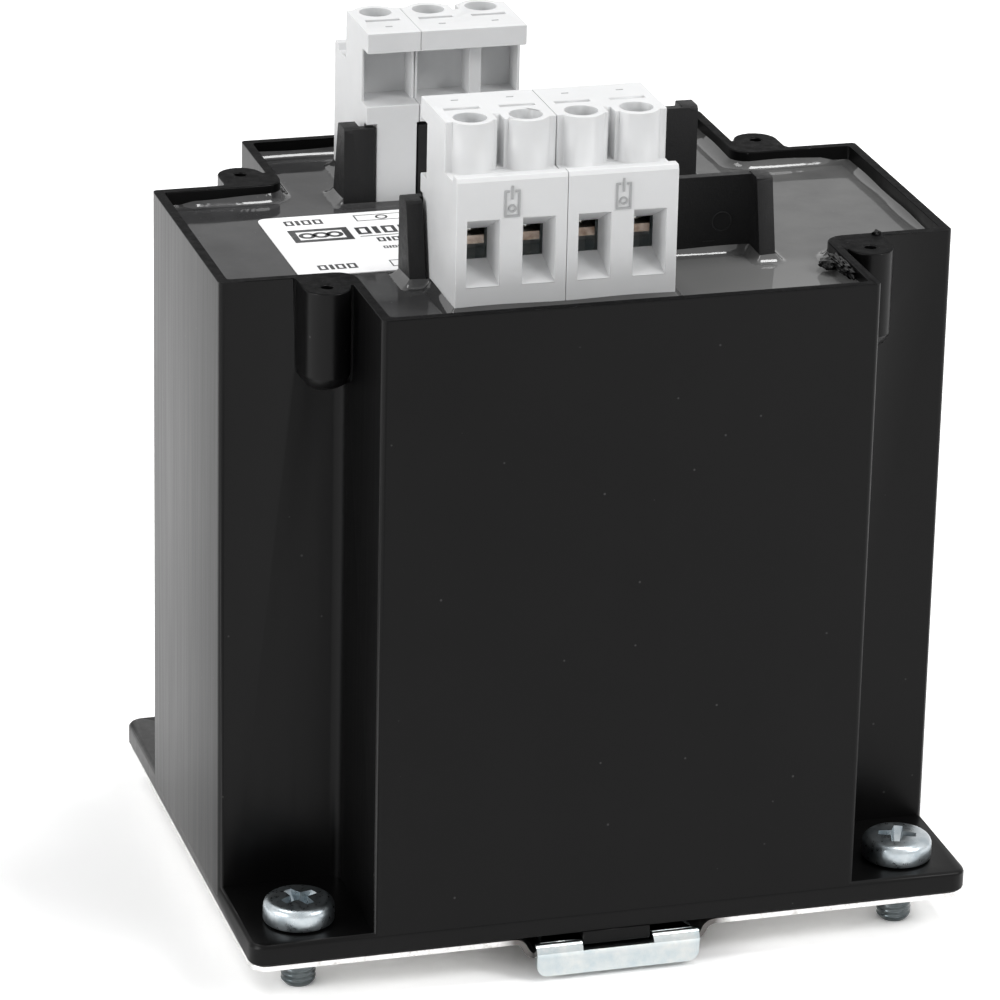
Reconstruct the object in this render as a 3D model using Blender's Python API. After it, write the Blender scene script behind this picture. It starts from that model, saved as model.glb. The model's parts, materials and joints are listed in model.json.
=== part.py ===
"""A potted control transformer with screw terminals on top and a snap-on rail plate below.

Metres, +Z up. The part stands on the tips of its four flange screws, and the origin is on that surface
under the middle of the footprint. Primary terminals face -Y, secondary terminals +Y. Places in this file
are measured from the middle of the mounting plate's underside, and one empty carries everything from
there to the origin.
"""

import math

import bmesh
import bpy
from mathutils import Matrix, Vector
from mathutils.geometry import delaunay_2d_cdt

# Clearances
GAP = 0.00025
SCREW_CLEARANCE = 0.00025
OVERLAP = 0.0002
BED = 0.00005

# Mounting plate and its trough
PLATE_WIDTH = 0.1056
PLATE_DEPTH = 0.0808
PLATE_SHEET = 0.0008
PLATE_CORNER_R = 0.0022
TROUGH_FLOOR_HALF = 0.0115
TROUGH_EAR_RUN = 0.0034
TROUGH_DROP = 0.0025
TROUGH_LENGTH = 0.0109
LATCH_WINDOW_HALF = 0.0124
LATCH_WINDOW_ROOM = 0.0010

# Rail that the plate snaps onto, and the fixed hooks
RAIL_WIDTH = 0.035
RAIL_SIDE_PLAY = 0.0003
HOOK_X = 0.0130
HOOK_WIDTH = 0.0080
HOOK_DROP = 0.0029
HOOK_REACH = 0.0023
HOOK_RELIEF = 0.0006
HOOK_WINDOW_DEPTH = 0.0058

# Rail latch and its spring
LATCH_SHEET = 0.0015
LATCH_TAB_HALF = 0.01205
LATCH_TAB_DROP = 0.0046
LATCH_TAB_CORNER_R = 0.0016
LATCH_BEND_R = 0.0016
LATCH_HALF = 0.0112
LATCH_FLOOR_PLAY = 0.0003
LATCH_STOP_PLAY = 0.0004
LATCH_SLOT_HALF = 0.00525
LATCH_SLOT_SILL = 0.0011
LATCH_SLOT_LAND = 0.0028
LATCH_NOSE_REACH = 0.0020
LATCH_NOSE_LENGTH = 0.0070
LATCH_JOG_LENGTH = 0.0016
LATCH_NOSE_PLAY = 0.00135
SPRING_WIRE = 0.0008
SPRING_HALF_WIDTH = 0.0042
SPRING_PASSES = 5

# Housing. The flange stands past the plate, and the notches are cut in from the faces of the block
FLANGE_PAST_PLATE_X = 0.0003
FLANGE_PAST_PLATE_Y = 0.0004
FLANGE_THICKNESS = 0.00314
FLANGE_CORNER_R = 0.0024
FLANGE_EDGE_R = 0.0006
WING_PAST_FLANGE = 0.0001
BLOCK_SHORT_OF_FLANGE = 0.0001
NOTCH_DEPTH = 0.0199
ROOM_OVER_CORE = 0.01398
CUP_WALL = 0.0014
CUP_FLOOR = 0.0020
CUP_EDGE_R = 0.0008
CUP_NOTCH_R = 0.0016
CUP_CORNER_R_INSIDE = 0.0006
TONGUE_HALF = 0.0050
TONGUE_THICKNESS = 0.0020
TONGUE_LIP = 0.0003
TONGUE_DEPTH = 0.00255

# Bosses in the four notches, their centres measured from the notch's walls
BOSS_FROM_BLOCK = 0.00375
BOSS_FROM_WING = 0.0045
BOSS_R = 0.0033
BOSS_LENGTH = 0.0124
BOSS_TIP = 0.0029
BOSS_FILLET = 0.0009
BOSS_PILOT_R = 0.0009
BOSS_PILOT_DEPTH = 0.0090

# Flange screws, their centres measured from the plate's edges
FLANGE_SCREW_INSET_X = 0.0082
FLANGE_SCREW_INSET_Y = 0.0069
FLANGE_SCREW_R = 0.0025
FLANGE_SCREW_STUB = 0.0054
FLANGE_HEAD_R = 0.00505
FLANGE_HEAD_SIDE = 0.0021
FLANGE_HEAD_HEIGHT = 0.0034
RECESS_HALF = 0.0027
RECESS_HALF_WIDTH = 0.00065
RECESS_DEPTH = 0.0020

# Potting compound and label
RESIN_BELOW_RIM = 0.0027
LABEL_FROM_WING_END = 0.0130
LABEL_LENGTH = 0.0600
LABEL_FROM_FRONT_CARRIER = 0.0010
LABEL_FROM_REAR_CARRIER = 0.0035
LABEL_THICKNESS = 0.00015
LABEL_CORNER_R = 0.0013

# Core, size EI 96, and the room left round it in the cup
CORE_END_ROOM = 0.0038
CORE_SIDE_ROOM = 0.0014

# Bobbin and windings
BOBBIN_WALL = 0.0012
BOBBIN_FLANGE = 0.0015
BOBBIN_PAST_WINDINGS = 0.0010
WINDING_CORNER_R = 0.0015
WINDING_ROOM = 0.00075
INSULATION_BUILD = 0.0006
LEAD_R = 0.00055
LEAD_HOLE = 0.0011

# Terminal carriers
CARRIER_CENTRE_X = 0.0001
CARRIER_HALF_X = 0.02655
CARRIER_WALL_BEHIND_FACE = 0.01865
CARRIER_WALL = 0.0015
CARRIER_ABOVE_RIM = 0.00917
CARRIER_CHEEK = 0.00235
CARRIER_CHEEK_TOP = 0.0037
CARRIER_CHEEK_FOOT = 0.0082
CARRIER_CHEEK_R = 0.0008
CARRIER_FLOOR = 0.0015
CARRIER_FLOOR_PAST_FACE = 0.00035

# Terminal bodies. Depths run from the face with the wire entries towards the middle of the part
PITCH = 0.00787
FRONT_LEFT_X = -0.02355
REAR_LEFT_X = -0.02316
BODY_FACE_BEHIND_BLOCK = 0.00705
BODY_ABOVE_CARRIER = 0.01387
BODY_CAP = 0.00304
BODY_CAP_DEPTH = 0.01865
BODY_NECK_DEPTH = 0.01535
BODY_TALL_DEPTH = 0.00629
BODY_SHELF_BELOW_TOP = 0.00717
BODY_RIB_HEIGHT = 0.0010
BODY_RIB_BACK = 0.0018
BODY_RIB_SLOPE = 0.0005
BODY_EDGE = 0.00063
BODY_LIP_ABOVE_CARRIER = 0.0029
POCKET_WALL = 0.0010
POCKET_RIM = 0.0003
POCKET_RIB = 0.0018
LEG_INSET = 0.0004
LEG_WIDTH = 0.0059
TOWER_DEPTH = 0.00785
TOWER_R = 0.0033
TOWER_HOLE_R = 0.00233
TOWER_HOLE_FLOOR_ABOVE_SHELF = 0.0013
TOWER_WEB = 0.0008
GROOVE_HALF = 0.0005
GROOVE_DEPTH = 0.0024
MARKER_SLOT_DEPTH_PLACE = 0.01205
MARKER_SLOT_LENGTH = 0.0051
MARKER_SLOT_WIDTH = 0.0011
MARKER_SLOT_CUT = 0.0010
ENTRY_HALF = 0.00234
ENTRY_BELOW_SHELF = 0.00504
ENTRY_HEIGHT = 0.0096
FUNNEL_DEPTH = 0.0045
THROAT_HALF = 0.00175
THROAT_SILL = 0.00274
THROAT_LINTEL = 0.00256

# Wire clamps, contact bars and terminal screws
CLAMP_HALF = 0.00235
CLAMP_SIDE = 0.0006
CLAMP_DEPTH = 0.0044
CLAMP_ABOVE_ENTRY_SILL = 0.00154
CLAMP_HEIGHT = 0.0076
CLAMP_BOTTOM_PLATE = 0.0008
CLAMP_TOP_PLATE = 0.0013
BAR_HALF = 0.0015
BAR_SHEET = 0.0012
BAR_ABOVE_CLAMP_FOOT = 0.0031
BAR_FRONT_DEPTH = 0.0050
BAR_TAIL_DEPTH = 0.0116
BAR_TAIL_ABOVE_CARRIER_FOOT = 0.00055
TERMINAL_SCREW_R = 0.0014
TERMINAL_HEAD_R = 0.0021
TERMINAL_HEAD_HEIGHT = 0.0022
TERMINAL_SLOT_HALF = 0.0004
TERMINAL_SLOT_DEPTH = 0.0012

# Shares and angles that set a shape, not a size. The core's shares are those of every EI lamination
BLOCK_SHARE = 709 / 1064
CORE_HEIGHT_SHARE = 5 / 6
CORE_LIMB_SHARE = 1 / 6
PRIMARY_SHARE = 66 / 122
SCREW_TIP_SHARE = 0.8
CROWN_ANGLES = (0, 12, 26, 42, 62)
CROWN_FULLNESS = 0.7
RECESS_TAPER = (0.55, 1.1)
BOSS_TIP_ANGLES = (72, 50, 28, 0)
LEAD_RISE_SHARE = 0.35
LEAD_END_SHARE = 0.25
LEAD_STEPS = 6
CREASE_ANGLE = 35

# What follows from the sizes above
PLATE_FRONT_Y = -PLATE_DEPTH / 2
TROUGH_END_Y = PLATE_FRONT_Y + TROUGH_LENGTH
TROUGH_FLOOR = PLATE_SHEET - TROUGH_DROP
LATCH_UNDERSIDE = TROUGH_FLOOR + LATCH_FLOOR_PLAY
LATCH_TOP = LATCH_UNDERSIDE + LATCH_SHEET
LATCH_FACE_Y = PLATE_FRONT_Y - LATCH_STOP_PLAY - LATCH_SHEET
LATCH_TIP_Y = -RAIL_WIDTH / 2 + LATCH_NOSE_REACH
LATCH_JOG_END_Y = LATCH_TIP_Y - LATCH_NOSE_LENGTH
LATCH_JOG_START_Y = LATCH_JOG_END_Y - LATCH_JOG_LENGTH
LATCH_SLOT_END_Y = LATCH_JOG_START_Y - LATCH_SLOT_LAND
FLANGE_WIDTH = PLATE_WIDTH + 2 * FLANGE_PAST_PLATE_X
FLANGE_DEPTH = PLATE_DEPTH + 2 * FLANGE_PAST_PLATE_Y
FLANGE_SCREW_X = PLATE_WIDTH / 2 - FLANGE_SCREW_INSET_X
FLANGE_SCREW_Y = PLATE_DEPTH / 2 - FLANGE_SCREW_INSET_Y
WING_HALF_X = FLANGE_WIDTH / 2 + WING_PAST_FLANGE
BLOCK_HALF_Y = FLANGE_DEPTH / 2 - BLOCK_SHORT_OF_FLANGE
BLOCK_HALF_X = BLOCK_SHARE * WING_HALF_X
WING_HALF_Y = BLOCK_HALF_Y - NOTCH_DEPTH
BOSS_X = BLOCK_HALF_X + BOSS_FROM_BLOCK
BOSS_Y = WING_HALF_Y + BOSS_FROM_WING
CORE_WIDTH = 2 * (WING_HALF_X - CUP_WALL - CORE_END_ROOM)
CORE_HEIGHT = CORE_HEIGHT_SHARE * CORE_WIDTH
CORE_LIMB = CORE_LIMB_SHARE * CORE_WIDTH
CORE_MIDDLE_LIMB = 2 * CORE_LIMB
CORE_STACK = 2 * (WING_HALF_Y - CUP_WALL - CORE_SIDE_ROOM)
WINDINGS_BUILD = CORE_LIMB - BOBBIN_WALL - INSULATION_BUILD - WINDING_ROOM - 5 * GAP
PRIMARY_BUILD = PRIMARY_SHARE * WINDINGS_BUILD
SECONDARY_BUILD = WINDINGS_BUILD - PRIMARY_BUILD
COIL_BUILD = BOBBIN_WALL + INSULATION_BUILD + WINDINGS_BUILD + 4 * GAP
BOBBIN_DEPTH = 2 * (CORE_STACK / 2 + COIL_BUILD + BOBBIN_PAST_WINDINGS)
HOUSING_FOOT = PLATE_SHEET + GAP
CUP_HEIGHT = CORE_HEIGHT + ROOM_OVER_CORE
RIM = HOUSING_FOOT + CUP_HEIGHT
CAVITY_FLOOR = HOUSING_FOOT + CUP_FLOOR
TONGUE_FRONT_Y = -BLOCK_HALF_Y - TONGUE_LIP
TONGUE_BACK_Y = PLATE_FRONT_Y + TONGUE_THICKNESS
RESIN_TOP = RIM - RESIN_BELOW_RIM
RESIN_FOOT = CAVITY_FLOOR + GAP
CORE_FOOT = RESIN_FOOT + BED
CORE_TOP = CORE_FOOT + CORE_HEIGHT
WINDOW_LOW = CORE_FOOT + CORE_LIMB + GAP
WINDOW_HIGH = CORE_TOP - CORE_LIMB
BOBBIN_LOW = WINDOW_LOW + GAP
BOBBIN_HIGH = WINDOW_HIGH - GAP
WINDING_LOW = BOBBIN_LOW + BOBBIN_FLANGE + GAP
WINDING_HIGH = BOBBIN_HIGH - BOBBIN_FLANGE - GAP
CARRIER_FOOT = CORE_TOP + GAP + BED
CARRIER_DECK = CARRIER_FOOT + CARRIER_FLOOR
CARRIER_TOP = RIM + CARRIER_ABOVE_RIM
BODY_FACE_Y = BLOCK_HALF_Y - BODY_FACE_BEHIND_BLOCK
CARRIER_WALL_Y = BODY_FACE_Y - CARRIER_WALL_BEHIND_FACE
CARRIER_FLOOR_Y = BODY_FACE_Y + CARRIER_FLOOR_PAST_FACE
LABEL_LEFT = -WING_HALF_X + LABEL_FROM_WING_END
LABEL_FRONT = -CARRIER_WALL_Y + LABEL_FROM_FRONT_CARRIER
LABEL_BACK = CARRIER_WALL_Y - LABEL_FROM_REAR_CARRIER
BODY_FOOT = CARRIER_DECK + GAP
BODY_TOP = CARRIER_TOP + BODY_ABOVE_CARRIER
BODY_SHELF = BODY_TOP - BODY_SHELF_BELOW_TOP
BODY_RIB_TOP = BODY_SHELF + BODY_RIB_HEIGHT
BODY_LIP_TOP = CARRIER_TOP + BODY_LIP_ABOVE_CARRIER
BODY_BACK_DEPTH = BODY_FACE_Y - CARRIER_WALL_Y - CARRIER_WALL - GAP
BODY_LEG_DEPTH = BODY_FACE_Y - CARRIER_WALL_Y - GAP
BODY_LIP_UNDERSIDE = CARRIER_TOP + GAP
TOWER_HOLE_FLOOR = BODY_SHELF + TOWER_HOLE_FLOOR_ABOVE_SHELF
ENTRY_HIGH = BODY_SHELF - ENTRY_BELOW_SHELF
ENTRY_LOW = ENTRY_HIGH - ENTRY_HEIGHT
THROAT_LOW = ENTRY_LOW + THROAT_SILL
THROAT_HIGH = ENTRY_HIGH - THROAT_LINTEL
CLAMP_LOW = ENTRY_LOW + CLAMP_ABOVE_ENTRY_SILL
CLAMP_FRONT_DEPTH = TOWER_DEPTH - CLAMP_DEPTH / 2
CHAMBER_BACK_DEPTH = CLAMP_FRONT_DEPTH + CLAMP_DEPTH + GAP
CHAMBER_TOP = BODY_SHELF - TOWER_WEB
BAR_UNDERSIDE = CLAMP_LOW + BAR_ABOVE_CLAMP_FOOT
BAR_TOP = BAR_UNDERSIDE + BAR_SHEET
BAR_TAIL_END = CARRIER_FOOT + BAR_TAIL_ABOVE_CARRIER_FOOT
TERMINAL_HEAD_UNDERSIDE = TOWER_HOLE_FLOOR + GAP
TERMINAL_TIP = BAR_TOP + GAP
FLANGE_HEAD_UNDERSIDE = HOUSING_FOOT + FLANGE_THICKNESS + GAP

CORNERS = [(sx, sy) for sx in (-1, 1) for sy in (-1, 1)]
ROUND_STEPS = 24
SMALL_STEPS = 16


def clear_scene():
    for item in list(bpy.data.objects):
        bpy.data.objects.remove(item, do_unlink=True)


def finish(name, colour, roughness, metallic=0.0):
    """A plain Principled material."""
    look = bpy.data.materials.new(name)
    look.use_nodes = True
    shader = look.node_tree.nodes["Principled BSDF"]
    shader.inputs["Base Color"].default_value = (*colour, 1.0)
    shader.inputs["Roughness"].default_value = roughness
    shader.inputs["Metallic"].default_value = metallic
    return look


def arc(x, y, radius, start, end, steps):
    """Points on a circle from start to end, both in degrees."""
    angles = [math.radians(start + (end - start) * i / steps) for i in range(steps + 1)]
    return [(x + radius * math.cos(a), y + radius * math.sin(a)) for a in angles]


def circle(x, y, radius, steps=ROUND_STEPS):
    return arc(x, y, radius, 0, 360, steps)[:-1]


def rounded(corners, steps=4):
    """A closed outline whose corners (x, y, radius) are filleted."""
    outline = []
    for i, (x, y, radius) in enumerate(corners):
        here = Vector((x, y))
        if radius == 0:
            outline.append((x, y))
            continue
        before = (Vector(corners[i - 1][:2]) - here).normalized()
        after = (Vector(corners[(i + 1) % len(corners)][:2]) - here).normalized()
        half = before.angle(after) / 2
        centre = here + (before + after).normalized() * radius / math.sin(half)
        first = here + before * radius / math.tan(half) - centre
        last = here + after * radius / math.tan(half) - centre
        turn = first.angle_signed(last)
        for k in range(steps + 1):
            point = centre + Matrix.Rotation(-turn * k / steps, 2) @ first
            outline.append((point.x, point.y))
    return outline


def rectangle(x0, x1, y0, y1, radius=0.0):
    return rounded([(x0, y0, radius), (x1, y0, radius), (x1, y1, radius), (x0, y1, radius)])


def filled(loops):
    """Triangles, as indices into all loops' points, of the first loop less the convex holes in the rest."""
    points = [Vector(point) for loop in loops for point in loop]
    owner = [number for number, loop in enumerate(loops) for point in loop]
    edges = []
    for loop in loops:
        first = len(edges)
        edges += [(first + i, first + (i + 1) % len(loop)) for i in range(len(loop))]
    inside_only = 1
    fill = delaunay_2d_cdt(points, edges, [], inside_only, 1e-9)
    triangles = [[fill[3][i][0] for i in triangle] for triangle in fill[2]]
    return [triangle for triangle in triangles if {owner[i] for i in triangle} == {0}
            or len({owner[i] for i in triangle}) > 1]


def prism(outline, low, high, holes=()):
    """A straight extrusion along Z of an outline with holes."""
    bm = bmesh.new()
    loops = [outline, *holes]
    verts = [bm.verts.new((x, y, low)) for loop in loops for x, y in loop]
    for triangle in filled(loops):
        bm.faces.new([verts[i] for i in triangle])
    raised = bmesh.ops.extrude_face_region(bm, geom=bm.faces[:])["geom"]
    for item in raised:
        if isinstance(item, bmesh.types.BMVert):
            item.co.z = high
    bmesh.ops.recalc_face_normals(bm, faces=bm.faces[:])
    return bm


def loft(sections):
    """A solid through outlines (points, height) that have as many points each."""
    bm = bmesh.new()
    rings = [[bm.verts.new((x, y, z)) for x, y in outline] for outline, z in sections]
    for low, high in zip(rings, rings[1:]):
        for i, vert in enumerate(low):
            bm.faces.new([low[i - 1], vert, high[i], high[i - 1]])
    for (outline, z), ring_verts in ((sections[0], rings[0]), (sections[-1], rings[-1])):
        for triangle in filled([outline]):
            bm.faces.new([ring_verts[i] for i in triangle])
    bmesh.ops.recalc_face_normals(bm, faces=bm.faces[:])
    return bm


def box(x0, x1, y0, y1, z0, z1):
    return prism(rectangle(x0, x1, y0, y1), z0, z1)


def turned(profile, steps=ROUND_STEPS):
    """A solid of revolution about Z from (radius, height) points that start and end on the axis."""
    bm = bmesh.new()
    tip = bm.verts.new((0, 0, profile[0][1]))
    crown = bm.verts.new((0, 0, profile[-1][1]))
    rings = [[bm.verts.new((x, y, z)) for x, y in circle(0, 0, radius, steps)]
             for radius, z in profile[1:-1]]
    for low, high in zip(rings, rings[1:]):
        for i, vert in enumerate(low):
            bm.faces.new([low[i - 1], vert, high[i], high[i - 1]])
    for pole, ring_verts in ((tip, rings[0]), (crown, rings[-1])):
        for i, vert in enumerate(ring_verts):
            bm.faces.new([ring_verts[i - 1], vert, pole])
    bmesh.ops.recalc_face_normals(bm, faces=bm.faces[:])
    return bm


def turned_to(bm, axes):
    """The same solid with its X, Y and Z moved to the world directions in axes."""
    matrix = Matrix([Vector(axis) for axis in axes]).transposed()
    bmesh.ops.transform(bm, matrix=matrix.to_4x4(), verts=bm.verts[:])
    bmesh.ops.recalc_face_normals(bm, faces=bm.faces[:])
    return bm


def along_x(outline, x0, x1):
    """A (y, z) outline extruded along X."""
    return turned_to(prism(outline, x0, x1), ((0, 1, 0), (0, 0, 1), (1, 0, 0)))


def along_y(outline, y0, y1, holes=()):
    """An (x, z) outline extruded along Y."""
    return turned_to(prism(outline, y0, y1, holes), ((1, 0, 0), (0, 0, 1), (0, 1, 0)))


def joined(solids):
    """Several separate solids in one bmesh, for use as one cutter or one addition."""
    bm = bmesh.new()
    for solid in solids:
        mesh = bpy.data.meshes.new("piece")
        solid.to_mesh(mesh)
        bm.from_mesh(mesh)
        bpy.data.meshes.remove(mesh)
    return bm


def as_object(name, mesh):
    item = bpy.data.objects.new(name, mesh)
    bpy.context.scene.collection.objects.link(item)
    return item


def as_mesh(bm, name="shape"):
    mesh = bpy.data.meshes.new(name)
    bm.to_mesh(mesh)
    bm.free()
    return mesh


def shaped(base, adds=(), cuts=()):
    """The mesh of a solid after additions are joined to it and cutters are taken away."""
    body = as_object("body", as_mesh(base))
    tools = []
    for operation, solids in (("UNION", adds), ("DIFFERENCE", cuts)):
        for solid in solids:
            tool = as_object("tool", as_mesh(solid))
            tools.append(tool)
            step = body.modifiers.new(operation, "BOOLEAN")
            step.operation = operation
            step.solver = "EXACT"
            step.object = tool
    bpy.context.view_layer.update()
    graph = bpy.context.evaluated_depsgraph_get()
    mesh = bpy.data.meshes.new_from_object(body.evaluated_get(graph))
    for item in [body, *tools]:
        bpy.data.objects.remove(item, do_unlink=True)
    return mesh


def place(name, mesh, look, location=(0, 0, 0), turn=0.0):
    """One named piece on the lifting empty, shaded smooth where its facets stand for a curve."""
    item = as_object(name, mesh)
    if not mesh.materials:
        mesh.name = name
        mesh.materials.append(look)
        mesh.shade_smooth()
        mesh.set_sharp_from_angle(angle=math.radians(CREASE_ANGLE))
    item.parent = LIFT
    item.location = location
    item.rotation_euler = (0, 0, turn)
    return item


def trough_section():
    """Section (x, z) of the pressed trough: two arcs on each side between the plate and the floor."""
    drop, run = TROUGH_DROP, TROUGH_EAR_RUN
    middle_r = (run * run + drop * drop) / (4 * drop)
    bend = 2 * math.degrees(math.atan2(drop, run))
    outer_x = TROUGH_FLOOR_HALF + run
    inner_r, outer_r = middle_r - PLATE_SHEET / 2, middle_r + PLATE_SHEET / 2
    top_z = PLATE_SHEET / 2 - middle_r
    low_z = PLATE_SHEET / 2 - drop + middle_r
    upper = arc(outer_x, top_z, outer_r, 90, 90 + bend, 5)
    upper += reversed(arc(TROUGH_FLOOR_HALF, low_z, inner_r, -90, -90 + bend, 5))
    lower = arc(TROUGH_FLOOR_HALF, low_z, outer_r, -90, -90 + bend, 5)
    lower += reversed(arc(outer_x, top_z, inner_r, 90, 90 + bend, 5))
    right_top = [(outer_x + OVERLAP, PLATE_SHEET), *upper]
    right_low = [*lower, (outer_x + OVERLAP, 0.0)]
    left_top = [(-x, z) for x, z in reversed(right_top)]
    left_low = [(-x, z) for x, z in reversed(right_low)]
    return right_top + left_top + left_low + right_low


def plate_outline():
    """The flat of the plate: open at the front for the trough and the latch."""
    half_x, half_y = PLATE_WIDTH / 2, PLATE_DEPTH / 2
    ear = TROUGH_FLOOR_HALF + TROUGH_EAR_RUN
    window_end = LATCH_TIP_Y + LATCH_WINDOW_ROOM
    right = [(LATCH_WINDOW_HALF, window_end, 0.0), (LATCH_WINDOW_HALF, TROUGH_END_Y, 0.0),
             (ear, TROUGH_END_Y, 0.0), (ear, -half_y, 0.0),
             (half_x, -half_y, PLATE_CORNER_R), (half_x, half_y, PLATE_CORNER_R)]
    return rounded(right + [(-x, y, r) for x, y, r in reversed(right)])


def mounting_plate(look):
    hook_face = RAIL_WIDTH / 2 + RAIL_SIDE_PLAY
    hook_back = hook_face + PLATE_SHEET
    holes = [circle(sx * FLANGE_SCREW_X, sy * FLANGE_SCREW_Y, FLANGE_SCREW_R + SCREW_CLEARANCE)
             for sx, sy in CORNERS]
    hooks = []
    for side in (-1, 1):
        left = side * HOOK_X - HOOK_WIDTH / 2
        right = side * HOOK_X + HOOK_WIDTH / 2
        holes.append(rectangle(left - HOOK_RELIEF, right + HOOK_RELIEF,
                               hook_back - OVERLAP, hook_back + HOOK_WINDOW_DEPTH))
        section = [(hook_face, PLATE_SHEET - OVERLAP), (hook_face, PLATE_SHEET - HOOK_DROP),
                   (hook_face - HOOK_REACH, PLATE_SHEET - HOOK_DROP), (hook_face - HOOK_REACH, -HOOK_DROP),
                   (hook_back, -HOOK_DROP), (hook_back, PLATE_SHEET - OVERLAP)]
        hooks.append(along_x(section, left, right))
    trough = along_y(trough_section(), PLATE_FRONT_Y, TROUGH_END_Y)
    mesh = shaped(prism(plate_outline(), 0, PLATE_SHEET, holes), adds=[trough, joined(hooks)])
    place("mounting_plate", mesh, look)


def latch_section():
    """Section (y, z) of the slide behind its front bend: the flat, the jog and the nose under the rail."""
    back = LATCH_FACE_Y + LATCH_BEND_R - OVERLAP
    nose_top = -LATCH_NOSE_PLAY
    nose_underside = nose_top - LATCH_SHEET
    return [(back, LATCH_UNDERSIDE), (LATCH_JOG_START_Y, LATCH_UNDERSIDE), (LATCH_JOG_END_Y, nose_underside),
            (LATCH_TIP_Y, nose_underside), (LATCH_TIP_Y, nose_top), (LATCH_JOG_END_Y, nose_top),
            (LATCH_JOG_START_Y, LATCH_TOP), (back, LATCH_TOP)]


def rail_latch(look):
    face_back = LATCH_FACE_Y + LATCH_SHEET
    bend_y, bend_z = LATCH_FACE_Y + LATCH_BEND_R, LATCH_TOP - LATCH_BEND_R
    bend = arc(bend_y, bend_z, LATCH_BEND_R, 180, 90, 6)
    bend += [(bend_y, LATCH_UNDERSIDE), (face_back, LATCH_UNDERSIDE),
             (face_back, bend_z - LATCH_SHEET), (LATCH_FACE_Y, bend_z - LATCH_SHEET)]
    tab = rounded([(-LATCH_TAB_HALF, -LATCH_TAB_DROP, LATCH_TAB_CORNER_R),
                   (LATCH_TAB_HALF, -LATCH_TAB_DROP, LATCH_TAB_CORNER_R),
                   (LATCH_TAB_HALF, bend_z, 0.0), (-LATCH_TAB_HALF, bend_z, 0.0)])
    sill = box(-LATCH_SLOT_HALF, LATCH_SLOT_HALF, LATCH_FACE_Y - OVERLAP, face_back + OVERLAP,
               -LATCH_SLOT_SILL, LATCH_TOP + OVERLAP)
    window = box(-LATCH_SLOT_HALF, LATCH_SLOT_HALF, face_back, LATCH_SLOT_END_Y,
                 LATCH_UNDERSIDE - OVERLAP, LATCH_TOP + OVERLAP)
    mesh = shaped(along_x(latch_section(), -LATCH_HALF, LATCH_HALF),
                  adds=[along_x(bend, -LATCH_TAB_HALF, LATCH_TAB_HALF),
                        along_y(tab, LATCH_FACE_Y, face_back)],
                  cuts=[sill, window])
    place("rail_latch", mesh, look)


def spring_path():
    """Middle line of the flat zigzag spring, from the tongue to the end of the slide's window."""
    first = TONGUE_BACK_Y + GAP + SPRING_WIRE / 2
    last = LATCH_SLOT_END_Y - GAP - SPRING_WIRE / 2
    pitch = (last - first) / (SPRING_PASSES - 1)
    turn_x = SPRING_HALF_WIDTH - SPRING_WIRE / 2 - pitch / 2
    points = [(-turn_x, first)]
    for i in range(SPRING_PASSES - 1):
        side = 1 if i % 2 == 0 else -1
        bend = arc(turn_x, first + (i + 0.5) * pitch, pitch / 2, -90, 90, 6)
        points += [(side * x, y) for x, y in bend]
    points.append((turn_x if SPRING_PASSES % 2 else -turn_x, last))
    return points


def wire(points, radius, sides=6):
    """A round bar along a path, as a mesh with closed ends."""
    curve = bpy.data.curves.new("wire", "CURVE")
    curve.dimensions = "3D"
    curve.bevel_depth = radius
    curve.bevel_resolution = sides // 2 - 2
    curve.use_fill_caps = True
    spline = curve.splines.new("POLY")
    spline.points.add(len(points) - 1)
    for slot, point in zip(spline.points, points):
        slot.co = (*point, 1)
    item = as_object("wire", curve)
    bpy.context.view_layer.update()
    graph = bpy.context.evaluated_depsgraph_get()
    mesh = bpy.data.meshes.new_from_object(item.evaluated_get(graph))
    bpy.data.objects.remove(item, do_unlink=True)
    bm = bmesh.new()
    bm.from_mesh(mesh)
    bpy.data.meshes.remove(mesh)
    bmesh.ops.remove_doubles(bm, verts=bm.verts[:], dist=1e-6)
    bmesh.ops.triangulate(bm, faces=bm.faces[:])
    bmesh.ops.recalc_face_normals(bm, faces=bm.faces[:])
    return bm


def latch_spring(look):
    height = LATCH_UNDERSIDE + LATCH_SHEET / 2
    path = [(x, y, height) for x, y in spring_path()]
    place("latch_spring", as_mesh(wire(path, SPRING_WIRE / 2)), look)


def cup_outline(inset, corner_r, notch_r):
    """Plan of the cup, drawn in by inset: a block with a wing on each side."""
    block_x, block_y = BLOCK_HALF_X - inset, BLOCK_HALF_Y - inset
    wing_x, wing_y = WING_HALF_X - inset, WING_HALF_Y - inset
    right = [(block_x, -block_y, corner_r), (block_x, -wing_y, notch_r), (wing_x, -wing_y, corner_r),
             (wing_x, wing_y, corner_r), (block_x, wing_y, notch_r), (block_x, block_y, corner_r)]
    return rounded(right + [(-x, -y, r) for x, y, r in right])


def flange():
    """The foot flange, with its upper edge rounded."""
    def outline(inset):
        half_x, half_y = FLANGE_WIDTH / 2 - inset, FLANGE_DEPTH / 2 - inset
        return rectangle(-half_x, half_x, -half_y, half_y, FLANGE_CORNER_R - inset)

    top = HOUSING_FOOT + FLANGE_THICKNESS
    edge = [(outline(FLANGE_EDGE_R * (1 - math.cos(a))), top - FLANGE_EDGE_R * (1 - math.sin(a)))
            for a in (0.0, math.pi / 4, math.pi / 2)]
    return loft([(outline(0.0), HOUSING_FOOT), *edge])


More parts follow.
